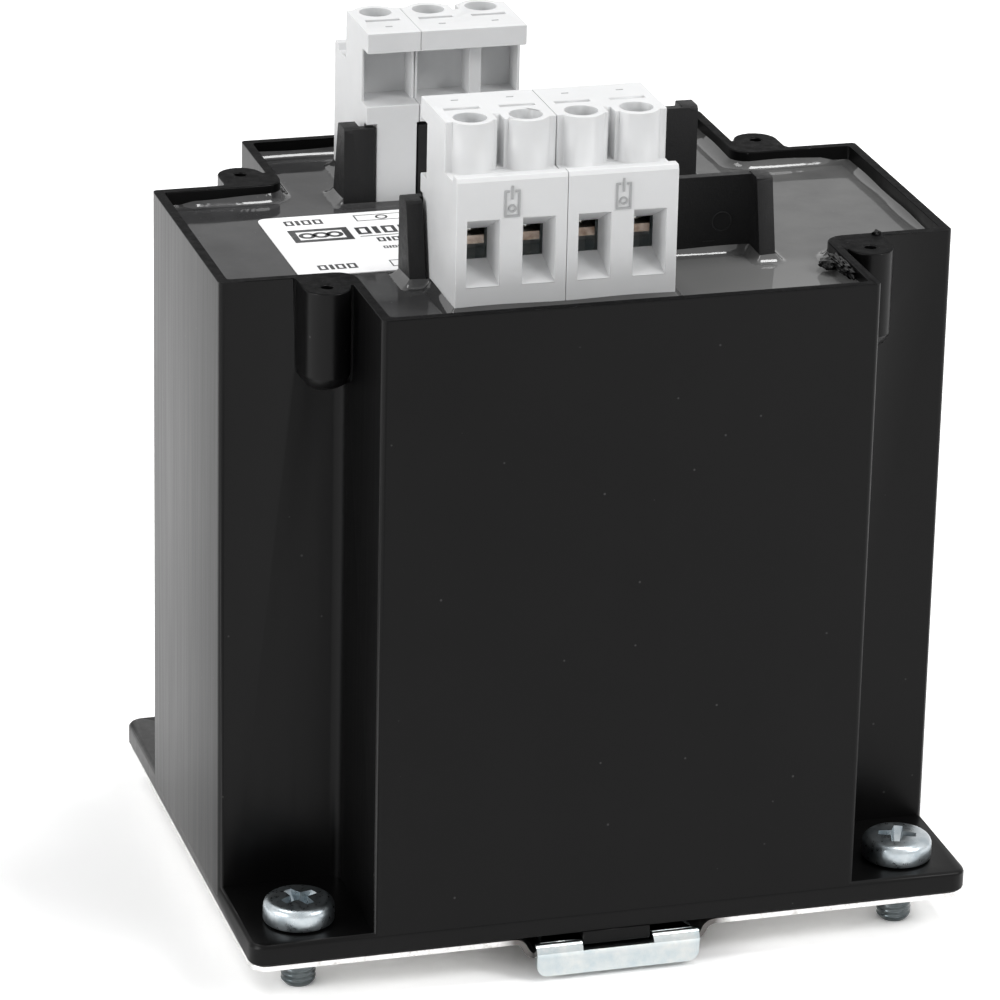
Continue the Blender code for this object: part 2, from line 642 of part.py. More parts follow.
def boss(sx, sy):
    """One boss in a notch, tied to the wing by a web and run out in a round tip at its lower end."""
    wall_y = WING_HALF_Y - CUP_WALL / 2
    wall_x = BLOCK_HALF_X - CUP_WALL / 2

    def outline(shrink):
        radius = BOSS_R * shrink
        fillet_x = BOSS_X + radius + BOSS_FILLET
        points = [(fillet_x, wall_y)]
        points += arc(fillet_x, WING_HALF_Y + BOSS_FILLET - OVERLAP, BOSS_FILLET, -90, -180, 3)
        points += arc(BOSS_X, BOSS_Y - BOSS_R + radius, radius, 0, 180, 10)
        points += [(wall_x, BOSS_Y - BOSS_R + radius), (wall_x, wall_y)]
        return [(sx * x, sy * y) for x, y in points]

    tip_top = RIM - BOSS_LENGTH
    turns = [math.radians(a) for a in BOSS_TIP_ANGLES]
    tip = [(outline(math.cos(a)), tip_top - BOSS_TIP * math.sin(a)) for a in turns]
    return loft([*tip, (outline(1.0), RIM)])


def housing(look):
    cup = prism(cup_outline(0.0, CUP_EDGE_R, CUP_NOTCH_R), HOUSING_FOOT + FLANGE_THICKNESS / 2, RIM)
    cavity = prism(cup_outline(CUP_WALL, CUP_CORNER_R_INSIDE, CUP_NOTCH_R + CUP_WALL),
                   CAVITY_FLOOR, RIM + OVERLAP)
    screw_holes = joined(prism(circle(sx * FLANGE_SCREW_X, sy * FLANGE_SCREW_Y,
                                      FLANGE_SCREW_R + SCREW_CLEARANCE),
                               -OVERLAP, HOUSING_FOOT + FLANGE_THICKNESS + OVERLAP) for sx, sy in CORNERS)
    pilots = joined(prism(circle(sx * BOSS_X, sy * BOSS_Y, BOSS_PILOT_R, 10),
                          RIM - BOSS_PILOT_DEPTH, RIM + OVERLAP) for sx, sy in CORNERS)
    sill = -LATCH_SLOT_SILL + GAP
    lip = box(-TONGUE_HALF, TONGUE_HALF, TONGUE_FRONT_Y, TONGUE_BACK_Y - OVERLAP,
              sill, HOUSING_FOOT + OVERLAP)
    tongue = box(-TONGUE_HALF, TONGUE_HALF, PLATE_FRONT_Y, TONGUE_BACK_Y,
                 HOUSING_FOOT - TONGUE_DEPTH, HOUSING_FOOT + CUP_FLOOR / 2)
    mesh = shaped(cup, adds=[flange(), joined(boss(sx, sy) for sx, sy in CORNERS), lip, tongue],
                  cuts=[cavity, screw_holes, pilots])
    place("housing", mesh, look)


def flange_screws(look):
    """Four pan-head screws with a cross recess."""
    head = FLANGE_HEAD_UNDERSIDE
    crown = [(FLANGE_HEAD_R * math.cos(a), head + FLANGE_HEAD_SIDE
              + (FLANGE_HEAD_HEIGHT - FLANGE_HEAD_SIDE) * math.sin(a) ** CROWN_FULLNESS)
             for a in (math.radians(d) for d in CROWN_ANGLES)]
    tip = -FLANGE_SCREW_STUB
    tip_r = FLANGE_SCREW_R * SCREW_TIP_SHARE
    profile = [(0.0, tip), (tip_r, tip), (FLANGE_SCREW_R, tip + FLANGE_SCREW_R - tip_r),
               (FLANGE_SCREW_R, head), (FLANGE_HEAD_R, head), *crown, (0.0, head + FLANGE_HEAD_HEIGHT)]

    def cross(scale):
        long, thin = RECESS_HALF * scale, RECESS_HALF_WIDTH
        return [(long, -thin), (long, thin), (thin, thin), (thin, long), (-thin, long), (-thin, thin),
                (-long, thin), (-long, -thin), (-thin, -thin), (-thin, -long), (thin, -long), (thin, -thin)]

    top = head + FLANGE_HEAD_HEIGHT
    narrow, wide = RECESS_TAPER
    recess = loft([(cross(narrow), top - RECESS_DEPTH), (cross(wide), top + OVERLAP)])
    mesh = shaped(turned(profile), cuts=[recess])
    for number, (sx, sy) in enumerate(CORNERS, 1):
        place(f"flange_screw_{number}", mesh, look, (sx * FLANGE_SCREW_X, sy * FLANGE_SCREW_Y, 0))


def core(look):
    """The stacked E laminations, back upwards, and the I laminations that close them below."""
    half, middle = CORE_WIDTH / 2, CORE_MIDDLE_LIMB / 2
    inner = half - CORE_LIMB
    low = CORE_FOOT + CORE_LIMB + GAP
    outline = [(-half, low), (-inner, low), (-inner, WINDOW_HIGH), (-middle, WINDOW_HIGH), (-middle, low),
               (middle, low), (middle, WINDOW_HIGH), (inner, WINDOW_HIGH), (inner, low), (half, low),
               (half, CORE_TOP), (-half, CORE_TOP)]
    depth = CORE_STACK / 2
    place("core_e_stack", as_mesh(along_y(outline, -depth, depth)), look)
    place("core_i_stack", as_mesh(box(-half, half, -depth, depth, CORE_FOOT, CORE_FOOT + CORE_LIMB)), look)


def ring(inner_x, inner_y, build, low, high, corner_r):
    """A rectangular ring round the middle limb."""
    hole = rectangle(-inner_x, inner_x, -inner_y, inner_y, corner_r)
    x, y = inner_x + build, inner_y + build
    return prism(rectangle(-x, x, -y, y, corner_r + build), low, high, [hole])


def bobbin_hole():
    return CORE_MIDDLE_LIMB / 2 + GAP, CORE_STACK / 2 + GAP


def lead_places():
    """Each lead: number, x, side, y where it starts and whether it starts on the core."""
    bobbin_y = bobbin_hole()[1] + BOBBIN_WALL
    primary_y = bobbin_y + GAP + PRIMARY_BUILD / 2
    secondary_y = bobbin_y + 3 * GAP + PRIMARY_BUILD + INSULATION_BUILD + SECONDARY_BUILD / 2
    places = []
    for number, (x, side) in enumerate(pole_places(), 1):
        start_y = primary_y if side < 0 else secondary_y
        places.append((number, x, side, start_y, number == len(pole_places())))
    return places


def bobbin(look):
    hole_x, hole_y = bobbin_hole()
    tube_x, tube_y = hole_x + BOBBIN_WALL, hole_y + BOBBIN_WALL
    flange_x = CORE_WIDTH / 2 - CORE_LIMB - GAP
    outline = rectangle(-flange_x, flange_x, -BOBBIN_DEPTH / 2, BOBBIN_DEPTH / 2, WINDING_CORNER_R)
    slots = [circle(x, side * y, LEAD_HOLE, 10) for number, x, side, y, earth in lead_places() if not earth]
    tube = prism(rectangle(-tube_x, tube_x, -tube_y, tube_y, WINDING_CORNER_R - GAP),
                 BOBBIN_LOW + OVERLAP, BOBBIN_HIGH - OVERLAP)
    low = prism(outline, BOBBIN_LOW, BOBBIN_LOW + BOBBIN_FLANGE)
    high = prism(outline, BOBBIN_HIGH - BOBBIN_FLANGE, BOBBIN_HIGH)
    hole = box(-hole_x, hole_x, -hole_y, hole_y, BOBBIN_LOW - OVERLAP, BOBBIN_HIGH + OVERLAP)
    passages = joined(prism(slot, WINDING_HIGH, BOBBIN_HIGH + OVERLAP) for slot in slots)
    place("bobbin", shaped(tube, adds=[low, high], cuts=[hole, passages]), look)


def windings(primary_look, insulation_look, secondary_look):
    """Primary, insulation and secondary, one round the other on the bobbin."""
    x, y = (size + BOBBIN_WALL + GAP for size in bobbin_hole())
    corner_r = WINDING_CORNER_R
    for name, build, look in (("primary_winding", PRIMARY_BUILD, primary_look),
                              ("winding_insulation", INSULATION_BUILD, insulation_look),
                              ("secondary_winding", SECONDARY_BUILD, secondary_look)):
        place(name, as_mesh(ring(x, y, build, WINDING_LOW, WINDING_HIGH, corner_r)), look)
        x, y, corner_r = x + build + GAP, y + build + GAP, corner_r + build + GAP


def lead_path(x, side, start_y, earth):
    """From the winding, or from the core's side, up to the tail of a contact bar."""
    tail_y = BODY_FACE_Y - BAR_TAIL_DEPTH - BAR_SHEET / 2
    top = BAR_TAIL_END - GAP
    low = WINDING_HIGH + GAP
    if earth:
        start_y = CORE_STACK / 2 + GAP + LEAD_R
        low = CORE_TOP - CORE_LIMB / 2
    bend_low = low + LEAD_RISE_SHARE * (top - low)
    bend_high = top - LEAD_END_SHARE * (top - low)
    path = [(x, side * start_y, low)]
    for i in range(LEAD_STEPS + 1):
        t = i / LEAD_STEPS
        s = t * t * (3 - 2 * t)
        path.append((x, side * (start_y + (tail_y - start_y) * s), bend_low + (bend_high - bend_low) * t))
    return [*path, (x, side * tail_y, top)]


def leads(look):
    for number, x, side, start_y, earth in lead_places():
        path = lead_path(x, side, start_y, earth)
        place(f"lead_{number}", as_mesh(wire(path, LEAD_R)), look)


def pole_places():
    """(x, side) of the seven poles: four in front, three behind."""
    front = [(FRONT_LEFT_X + (i + 0.5) * PITCH, -1) for i in range(4)]
    rear = [(REAR_LEFT_X + (i + 0.5) * PITCH, 1) for i in range(3)]
    return front + rear


def leg_spans(side):
    """Where the terminal legs of one side stand, as (left, right) in X."""
    spans = []
    for x, pole_side in pole_places():
        if pole_side == side:
            start = x - PITCH / 2 + LEG_INSET
            if side > 0:
                start = x + PITCH / 2 - LEG_INSET - LEG_WIDTH
            spans.append((start, start + LEG_WIDTH))
    return spans


def carrier_cheek(side, grow=0.0):
    """Profile (y, z) of an end cheek: its outer edge leans out towards the foot."""
    back = CARRIER_WALL_Y - grow
    lean = (CARRIER_CHEEK_FOOT - CARRIER_CHEEK_TOP) / (CARRIER_TOP - CARRIER_FOOT)
    foot = CARRIER_WALL_Y + CARRIER_CHEEK_FOOT + grow
    top = CARRIER_WALL_Y + CARRIER_CHEEK_TOP + grow
    low = CARRIER_FOOT - grow
    high = CARRIER_TOP + grow
    radius = 0.0 if grow else CARRIER_CHEEK_R
    corners = [(back, low, 0.0), (foot + lean * grow, low, 0.0), (top, high, radius), (back, high, radius)]
    return [(side * y, z) for y, z in rounded(corners, 3)]


def carrier_cheek_spans():
    left, right = CARRIER_CENTRE_X - CARRIER_HALF_X, CARRIER_CENTRE_X + CARRIER_HALF_X
    return [(left, left + CARRIER_CHEEK), (right - CARRIER_CHEEK, right)]


def terminal_carrier(name, side, look):
    """Wall behind the terminals, open where their legs stand, with end cheeks and a floor under them."""
    left, right = CARRIER_CENTRE_X - CARRIER_HALF_X, CARRIER_CENTRE_X + CARRIER_HALF_X
    inset = CARRIER_CHEEK / 2
    outline = [(left + inset, CARRIER_DECK - OVERLAP), (right - inset, CARRIER_DECK - OVERLAP),
               (right - inset, CARRIER_TOP - OVERLAP)]
    for start, end in reversed(leg_spans(side)):
        outline += [(end + GAP, CARRIER_TOP - OVERLAP), (end + GAP, CARRIER_DECK),
                    (start - GAP, CARRIER_DECK), (start - GAP, CARRIER_TOP - OVERLAP)]
    outline.append((left + inset, CARRIER_TOP - OVERLAP))
    wall_y = sorted((side * CARRIER_WALL_Y, side * (CARRIER_WALL_Y + CARRIER_WALL)))
    wall = along_y(outline, *wall_y)
    cheeks = joined(along_x(carrier_cheek(side), *span) for span in carrier_cheek_spans())
    floor_y = sorted((side * (CARRIER_WALL_Y + OVERLAP), side * CARRIER_FLOOR_Y))
    tail_y = BODY_FACE_Y - BAR_TAIL_DEPTH - BAR_SHEET / 2
    slots = []
    for x, pole_side in pole_places():
        if pole_side == side:
            half_x, half_y = BAR_HALF + GAP, BAR_SHEET / 2 + GAP
            slots.append(rectangle(x - half_x, x + half_x, side * tail_y - half_y, side * tail_y + half_y))
    floor = prism(rectangle(left + OVERLAP, right - OVERLAP, *floor_y), CARRIER_FOOT + OVERLAP,
                  CARRIER_DECK, slots)
    place(name, shaped(floor, adds=[wall, cheeks]), look)


def body_outline():
    """Side profile (depth, z) of a terminal body, without its legs, towers and entries."""
    return [(0.0, BODY_FOOT), (BODY_BACK_DEPTH, BODY_FOOT), (BODY_BACK_DEPTH, BODY_LIP_UNDERSIDE),
            (BODY_LEG_DEPTH, BODY_LIP_UNDERSIDE), (BODY_LEG_DEPTH, BODY_LIP_TOP),
            (BODY_NECK_DEPTH, BODY_LIP_TOP), (BODY_NECK_DEPTH, BODY_TOP - BODY_CAP),
            (BODY_CAP_DEPTH, BODY_TOP - BODY_CAP), (BODY_CAP_DEPTH, BODY_TOP),
            (BODY_TALL_DEPTH, BODY_TOP), (BODY_TALL_DEPTH, BODY_SHELF),
            (BODY_RIB_BACK + BODY_RIB_SLOPE, BODY_SHELF), (BODY_RIB_BACK, BODY_RIB_TOP),
            (BODY_EDGE / 2, BODY_RIB_TOP), (0.0, BODY_RIB_TOP - BODY_EDGE)]


def funnel(x):
    """The wire entry: a rectangle that narrows from the face to the throat in front of the clamp."""
    def section(depth):
        share = depth / FUNNEL_DEPTH
        half = ENTRY_HALF + (THROAT_HALF - ENTRY_HALF) * share
        low = ENTRY_LOW + (THROAT_LOW - ENTRY_LOW) * share
        high = ENTRY_HIGH + (THROAT_HIGH - ENTRY_HIGH) * share
        return rectangle(x - half, x + half, low, high), depth

    solid = loft([section(-OVERLAP), section(FUNNEL_DEPTH + OVERLAP)])
    return turned_to(solid, ((1, 0, 0), (0, 0, 1), (0, 1, 0)))


def pole_cuts(x):
    """What is hollow in one pole: entry, clamp chamber, screw hole, slot for the bar, marker slot."""
    chamber_half = CLAMP_HALF + GAP
    chamber = box(x - chamber_half, x + chamber_half, FUNNEL_DEPTH, CHAMBER_BACK_DEPTH,
                  CLAMP_LOW - GAP, CHAMBER_TOP)
    screw_hole = prism(circle(x, TOWER_DEPTH, TERMINAL_SCREW_R + GAP, SMALL_STEPS),
                       CHAMBER_TOP - OVERLAP, TOWER_HOLE_FLOOR + OVERLAP)
    head_hole = prism(circle(x, TOWER_DEPTH, TOWER_HOLE_R), TOWER_HOLE_FLOOR, BODY_TOP + OVERLAP)
    bar_half = BAR_HALF + GAP
    slot_front, slot_foot = CHAMBER_BACK_DEPTH - OVERLAP, BODY_FOOT - OVERLAP
    tail_front, tail_back = BAR_TAIL_DEPTH - GAP, BAR_TAIL_DEPTH + BAR_SHEET + GAP
    bar_slot = [(slot_front, BAR_UNDERSIDE - GAP), (tail_front, BAR_UNDERSIDE - GAP), (tail_front, slot_foot),
                (tail_back, slot_foot), (tail_back, BAR_TOP + GAP), (slot_front, BAR_TOP + GAP)]
    marker = box(x - MARKER_SLOT_LENGTH / 2, x + MARKER_SLOT_LENGTH / 2,
                 MARKER_SLOT_DEPTH_PLACE - MARKER_SLOT_WIDTH / 2,
                 MARKER_SLOT_DEPTH_PLACE + MARKER_SLOT_WIDTH / 2,
                 BODY_TOP - MARKER_SLOT_CUT, BODY_TOP + OVERLAP)
    return [chamber, funnel(x), head_hole, screw_hole, along_x(bar_slot, x - bar_half, x + bar_half), marker]


def terminal_mesh(poles):
    """A terminal body of one or more poles, its lower left front corner at the origin of X and depth."""
    left, right = GAP / 2, poles * PITCH - GAP / 2
    centres = [(i + 0.5) * PITCH for i in range(poles)]
    towers = [prism(circle(x, TOWER_DEPTH, TOWER_R), BODY_SHELF - TOWER_WEB, BODY_TOP) for x in centres]
    legs = [box(i * PITCH + LEG_INSET, i * PITCH + LEG_INSET + LEG_WIDTH, BODY_BACK_DEPTH - OVERLAP,
                BODY_LEG_DEPTH, BODY_FOOT, BODY_LIP_UNDERSIDE + OVERLAP) for i in range(poles)]
    cuts = [cut for x in centres for cut in pole_cuts(x)]
    for i in range(poles):
        start = max(left + POCKET_RIM, i * PITCH - GAP)
        end = min(right - POCKET_RIM, (i + 1) * PITCH - GAP - (POCKET_RIB if i < poles - 1 else 0.0))
        cuts.append(box(start, end, CHAMBER_BACK_DEPTH + POCKET_WALL, BODY_NECK_DEPTH + OVERLAP,
                        BODY_LIP_TOP, BODY_TOP - BODY_CAP))
    for i in range(1, poles):
        cuts.append(box(i * PITCH - GROOVE_HALF, i * PITCH + GROOVE_HALF, BODY_TALL_DEPTH - OVERLAP,
                        BODY_TALL_DEPTH + GROOVE_DEPTH, BODY_SHELF + OVERLAP, BODY_TOP + OVERLAP))
    return shaped(along_x(body_outline(), left, right), adds=[joined(towers), joined(legs)], cuts=cuts)


def terminal_bodies(look):
    """Two double bodies in front; behind, a single one and a double one turned half round."""
    double, single = terminal_mesh(2), terminal_mesh(1)
    place("front_terminal_body_left", double, look, (FRONT_LEFT_X, -BODY_FACE_Y, 0))
    place("front_terminal_body_right", double, look, (FRONT_LEFT_X + 2 * PITCH, -BODY_FACE_Y, 0))
    place("rear_terminal_body_single", single, look, (REAR_LEFT_X + PITCH, BODY_FACE_Y, 0), math.pi)
    place("rear_terminal_body_double", double, look, (REAR_LEFT_X + 3 * PITCH, BODY_FACE_Y, 0), math.pi)


def clamp_mesh():
    """A wire clamp: a flat ring round the bar, with a hole for the screw in its upper side."""
    inside = CLAMP_HALF - CLAMP_SIDE
    hole = rectangle(-inside, inside, CLAMP_BOTTOM_PLATE, CLAMP_HEIGHT - CLAMP_TOP_PLATE)
    frame = along_y(rectangle(-CLAMP_HALF, CLAMP_HALF, 0.0, CLAMP_HEIGHT),
                    -CLAMP_DEPTH / 2, CLAMP_DEPTH / 2, [hole])
    thread = prism(circle(0, 0, TERMINAL_SCREW_R + GAP, SMALL_STEPS),
                   CLAMP_HEIGHT - CLAMP_TOP_PLATE - OVERLAP, CLAMP_HEIGHT + OVERLAP)
    return shaped(frame, cuts=[thread])


def bar_mesh():
    """A contact bar: flat through the clamp, then bent down to its soldering tail."""
    start, tail = BAR_FRONT_DEPTH - TOWER_DEPTH, BAR_TAIL_DEPTH - TOWER_DEPTH
    end = BAR_TAIL_END - BAR_UNDERSIDE
    outline = [(start, 0.0), (tail, 0.0), (tail, end), (tail + BAR_SHEET, end),
               (tail + BAR_SHEET, BAR_SHEET), (start, BAR_SHEET)]
    return as_mesh(along_x(outline, -BAR_HALF, BAR_HALF))


def terminal_screw_mesh():
    """A slotted screw, its origin at the underside of the head."""
    tip = TERMINAL_TIP - TERMINAL_HEAD_UNDERSIDE
    profile = [(0.0, tip), (TERMINAL_SCREW_R, tip), (TERMINAL_SCREW_R, 0.0), (TERMINAL_HEAD_R, 0.0),
               (TERMINAL_HEAD_R, TERMINAL_HEAD_HEIGHT), (0.0, TERMINAL_HEAD_HEIGHT)]
    slot = box(-TERMINAL_HEAD_R - OVERLAP, TERMINAL_HEAD_R + OVERLAP, -TERMINAL_SLOT_HALF,
               TERMINAL_SLOT_HALF, TERMINAL_HEAD_HEIGHT - TERMINAL_SLOT_DEPTH,
               TERMINAL_HEAD_HEIGHT + OVERLAP)
    return shaped(turned(profile, steps=SMALL_STEPS), cuts=[slot])


def terminal_works(clamp_look, bar_look, screw_look):
    """Clamp, bar and screw of each pole, each on the axis of its screw."""
    clamp, bar, screw = clamp_mesh(), bar_mesh(), terminal_screw_mesh()
    for number, (x, side) in enumerate(pole_places(), 1):
        y = side * (BODY_FACE_Y - TOWER_DEPTH)
        turn = 0.0 if side < 0 else math.pi
        place(f"wire_clamp_{number}", clamp, clamp_look, (x, y, CLAMP_LOW), turn)
        place(f"contact_bar_{number}", bar, bar_look, (x, y, BAR_UNDERSIDE), turn)
        place(f"terminal_screw_{number}", screw, screw_look, (x, y, TERMINAL_HEAD_UNDERSIDE), turn)


def terminal_seat_cuts(side):
    """Room in the resin for one carrier and the terminal bodies that stand on it."""
    def slab(x0, x1, y0, y1, z0, z1):
        return box(x0, x1, *sorted((side * y0, side * y1)), z0, z1)

    top = RESIN_TOP + OVERLAP
    left, right = CARRIER_CENTRE_X - CARRIER_HALF_X - GAP, CARRIER_CENTRE_X + CARRIER_HALF_X + GAP
    wall_back, wall_front = CARRIER_WALL_Y - GAP, CARRIER_WALL_Y + CARRIER_WALL + GAP
    xs = [x for x, pole_side in pole_places() if pole_side == side]
    bodies_left, bodies_right = min(xs) - PITCH / 2 - GAP, max(xs) + PITCH / 2 + GAP
    cheeks = [along_x(carrier_cheek(side, GAP), x0 - GAP, x1 + GAP) for x0, x1 in carrier_cheek_spans()]
    return [slab(left + OVERLAP, right - OVERLAP, wall_back + OVERLAP, CARRIER_FLOOR_Y + GAP,
                 CARRIER_FOOT + OVERLAP - GAP, BODY_FOOT),
            slab(left + CARRIER_CHEEK / 2, right - CARRIER_CHEEK / 2, wall_back, wall_front,
                 CARRIER_DECK, top),
            slab(bodies_left, bodies_right, CARRIER_WALL_Y + CARRIER_WALL / 2, BODY_FACE_Y + GAP,
                 CARRIER_DECK - OVERLAP, top),
            *cheeks]


def lead_cuts():
    """Room in the resin for each lead, from its winding to the floor of the carrier."""
    cuts = []
    for number, x, side, start_y, earth in lead_places():
        path = lead_path(x, side, start_y, earth)
        ends = [(*path[0][:2], path[0][2] - LEAD_HOLE), *path, (*path[-1][:2], BAR_TAIL_END + OVERLAP)]
        cuts.append(wire(ends, LEAD_HOLE, 8))
    return cuts


def resin_cuts():
    """Everything that stands in the resin, a joint's width larger."""
    foot = RESIN_FOOT - OVERLAP
    core_x, core_y = CORE_WIDTH / 2 + GAP, CORE_STACK / 2 + GAP
    coil_x, coil_y = CORE_WIDTH / 2 - CORE_LIMB, BOBBIN_DEPTH / 2 + GAP
    cuts = [box(-core_x, core_x, -core_y, core_y, foot, CORE_TOP + GAP),
            box(-coil_x, coil_x, -coil_y, coil_y, foot, BOBBIN_HIGH + GAP)]
    return [*cuts, *terminal_seat_cuts(-1), *terminal_seat_cuts(1), *lead_cuts()]


def potting_compound(look):
    block = prism(cup_outline(CUP_WALL + GAP, CUP_CORNER_R_INSIDE, CUP_NOTCH_R + CUP_WALL + GAP),
                  RESIN_FOOT, RESIN_TOP)
    place("potting_compound", shaped(block, cuts=resin_cuts()), look)


def rating_label(look):
    outline = rectangle(LABEL_LEFT, LABEL_LEFT + LABEL_LENGTH, LABEL_FRONT, LABEL_BACK, LABEL_CORNER_R)
    low = RESIN_TOP + GAP
    place("rating_label", as_mesh(prism(outline, low, low + LABEL_THICKNESS)), look)


clear_scene()
LIFT = bpy.data.objects.new("plate_underside", None)
LIFT.location = (0, -(LATCH_FACE_Y + FLANGE_DEPTH / 2) / 2, FLANGE_SCREW_STUB)
bpy.context.scene.collection.objects.link(LIFT)

ZINC = finish("bright_zinc", (0.62, 0.66, 0.70), 0.28, 1.0)
STEEL = finish("dull_zinc_sheet", (0.50, 0.50, 0.49), 0.50, 1.0)
BLACK = finish("black_thermoplastic", (0.017, 0.017, 0.018), 0.42)
GRAINED = finish("grained_black_thermoplastic", (0.012, 0.012, 0.013), 0.60)
RESIN = finish("grey_resin", (0.15, 0.15, 0.15), 0.12)
WHITE = finish("light_grey_polyamide", (0.60, 0.61, 0.61), 0.40)
PAPER = finish("label_paper", (0.85, 0.85, 0.85), 0.55)
IRON = finish("lamination_iron", (0.20, 0.20, 0.21), 0.50, 1.0)
NYLON = finish("bobbin_nylon", (0.55, 0.50, 0.40), 0.50)
COPPER = finish("enamelled_copper", (0.45, 0.16, 0.06), 0.35, 1.0)
TAPE = finish("insulation_tape", (0.70, 0.50, 0.10), 0.45)
TINNED = finish("tinned_copper", (0.45, 0.38, 0.33), 0.40, 1.0)

mounting_plate(STEEL)
rail_latch(ZINC)
latch_spring(ZINC)
housing(BLACK)
flange_screws(ZINC)
core(IRON)
bobbin(NYLON)
windings(COPPER, TAPE, COPPER)
leads(COPPER)
terminal_carrier("front_terminal_carrier", -1, GRAINED)
terminal_carrier("rear_terminal_carrier", 1, GRAINED)
terminal_bodies(WHITE)
terminal_works(ZINC, TINNED, ZINC)
potting_compound(RESIN)
rating_label(PAPER)
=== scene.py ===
"""A potted control transformer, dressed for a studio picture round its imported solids."""

import json
import math

import bmesh
import bpy
import numpy as np
from mathutils import Matrix, Vector
from mathutils.geometry import delaunay_2d_cdt

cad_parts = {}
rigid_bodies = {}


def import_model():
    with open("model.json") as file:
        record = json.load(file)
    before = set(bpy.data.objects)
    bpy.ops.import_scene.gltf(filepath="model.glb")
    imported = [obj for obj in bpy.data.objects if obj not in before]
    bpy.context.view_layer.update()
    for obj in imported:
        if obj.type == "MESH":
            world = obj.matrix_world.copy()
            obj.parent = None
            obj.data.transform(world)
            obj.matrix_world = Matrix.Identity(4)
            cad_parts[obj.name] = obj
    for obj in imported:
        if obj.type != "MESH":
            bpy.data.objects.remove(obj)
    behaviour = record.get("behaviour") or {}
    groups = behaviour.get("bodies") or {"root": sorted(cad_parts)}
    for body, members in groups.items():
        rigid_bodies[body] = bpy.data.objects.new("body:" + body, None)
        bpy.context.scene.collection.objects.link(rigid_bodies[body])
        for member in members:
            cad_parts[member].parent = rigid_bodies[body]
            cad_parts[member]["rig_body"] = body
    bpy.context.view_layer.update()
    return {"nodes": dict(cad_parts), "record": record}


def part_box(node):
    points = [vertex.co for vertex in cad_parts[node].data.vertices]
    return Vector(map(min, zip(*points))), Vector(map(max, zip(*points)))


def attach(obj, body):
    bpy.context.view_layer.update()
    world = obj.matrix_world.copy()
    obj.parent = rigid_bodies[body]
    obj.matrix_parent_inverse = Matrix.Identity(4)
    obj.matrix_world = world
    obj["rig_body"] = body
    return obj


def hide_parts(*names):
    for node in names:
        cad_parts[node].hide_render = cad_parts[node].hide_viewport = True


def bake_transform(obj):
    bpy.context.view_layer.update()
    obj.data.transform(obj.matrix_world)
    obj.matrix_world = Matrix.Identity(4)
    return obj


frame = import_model()

# Places are in millimetres from the middle of the mounting plate's underside, as in the part's source
MM = 0.001
PLATE_Y = 0.75
PLATE_Z = 5.4
BASE = "transformer"

RIM_TOP = 95.03
RESIN_TOP = 92.33
CARRIER_WALL = (15.0, 16.5)
CARRIER_X = (-26.45, 26.65)
CHEEK = 2.35
CHEEK_REACH = 21.3
BODY_FACE = 33.65
BODY_TOP = 118.07
TOP_LOWERED = 0.06
FRONT_BODIES = (-23.55, 7.93)
REAR_BODIES = (-23.16, 0.45)
PITCH = 7.87
FRONT_POLES = [-19.615 + i * PITCH for i in range(4)]
REAR_POLES = [-19.225 + i * PITCH for i in range(3)]
LABEL = (-40.2, 19.8, -14.0, 11.5)
LABEL_TOP = RESIN_TOP + 0.4
PRINT_LEVELS = (LABEL_TOP + 0.012, LABEL_TOP + 0.03)
FLANGE_SCREWS = [(sx * 44.6, sy * 33.5) for sx in (-1, 1) for sy in (-1, 1)]

# Resin skin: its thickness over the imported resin, and the spacing of points along its outlines
SKIN = 0.20
OUTLINE_STEP = 0.35
# Points inside the outlines: spacing, then least and greatest distance from a wall
GRIDS = ((0.3, 0.16, 1.9), (0.9, 1.9, 100.0))
# Drawn-up edge: width, slopes in degrees at the wall, half-way and at its end, and the share of its
# width that has the look of its own
MENISCUS = 1.7
MENISCUS_SLOPES = (58.0, 30.0, 0.0)
EDGE_SHARE = 0.85
# Share of its height that is left beside the label, and at the wings' end walls
LEFT_BY_LABEL = 0.35
LEFT_AT_ENDS = 0.5

# Edges of moulded and pressed pieces: shortest one rounded in millimetres, then angles in degrees
SHORTEST_ROUNDED = 0.5
ROUNDED_FROM = 40
SHARP_FROM = 35

# Camera: azimuth, elevation and roll in degrees, place and lens in millimetres, and shift as a share of
# the frame's width
CAMERA_ANGLES = (-17.071, 21.391, 1.48)
CAMERA_PLACE = (-214.66, -702.45, 338.36)
CAMERA_LENS = 195.7
CAMERA_SHIFT = (-0.0501, 0.0008)

# Lamps: name, place in metres, height aimed at, size, watts
LAMPS = (
    ("key", (0.70, -0.60, 0.75), 0.06, (0.40, 0.40), 4.8),
    ("top", (0.235, 0.00, 0.92), 0.10, (0.30, 0.20), 2.9),
    ("left", (-0.90, -0.30, 0.36), 0.09, (0.5, 0.4), 4.4),
    ("fill", (-0.36, 0.12, 0.88), 0.10, (0.30, 0.30), 1.6),
)


def at(x, y, z):
    """World place of a point given in millimetres from the plate's underside."""
    return Vector((x * MM, (y + PLATE_Y) * MM, (z + PLATE_Z) * MM))


# Camera

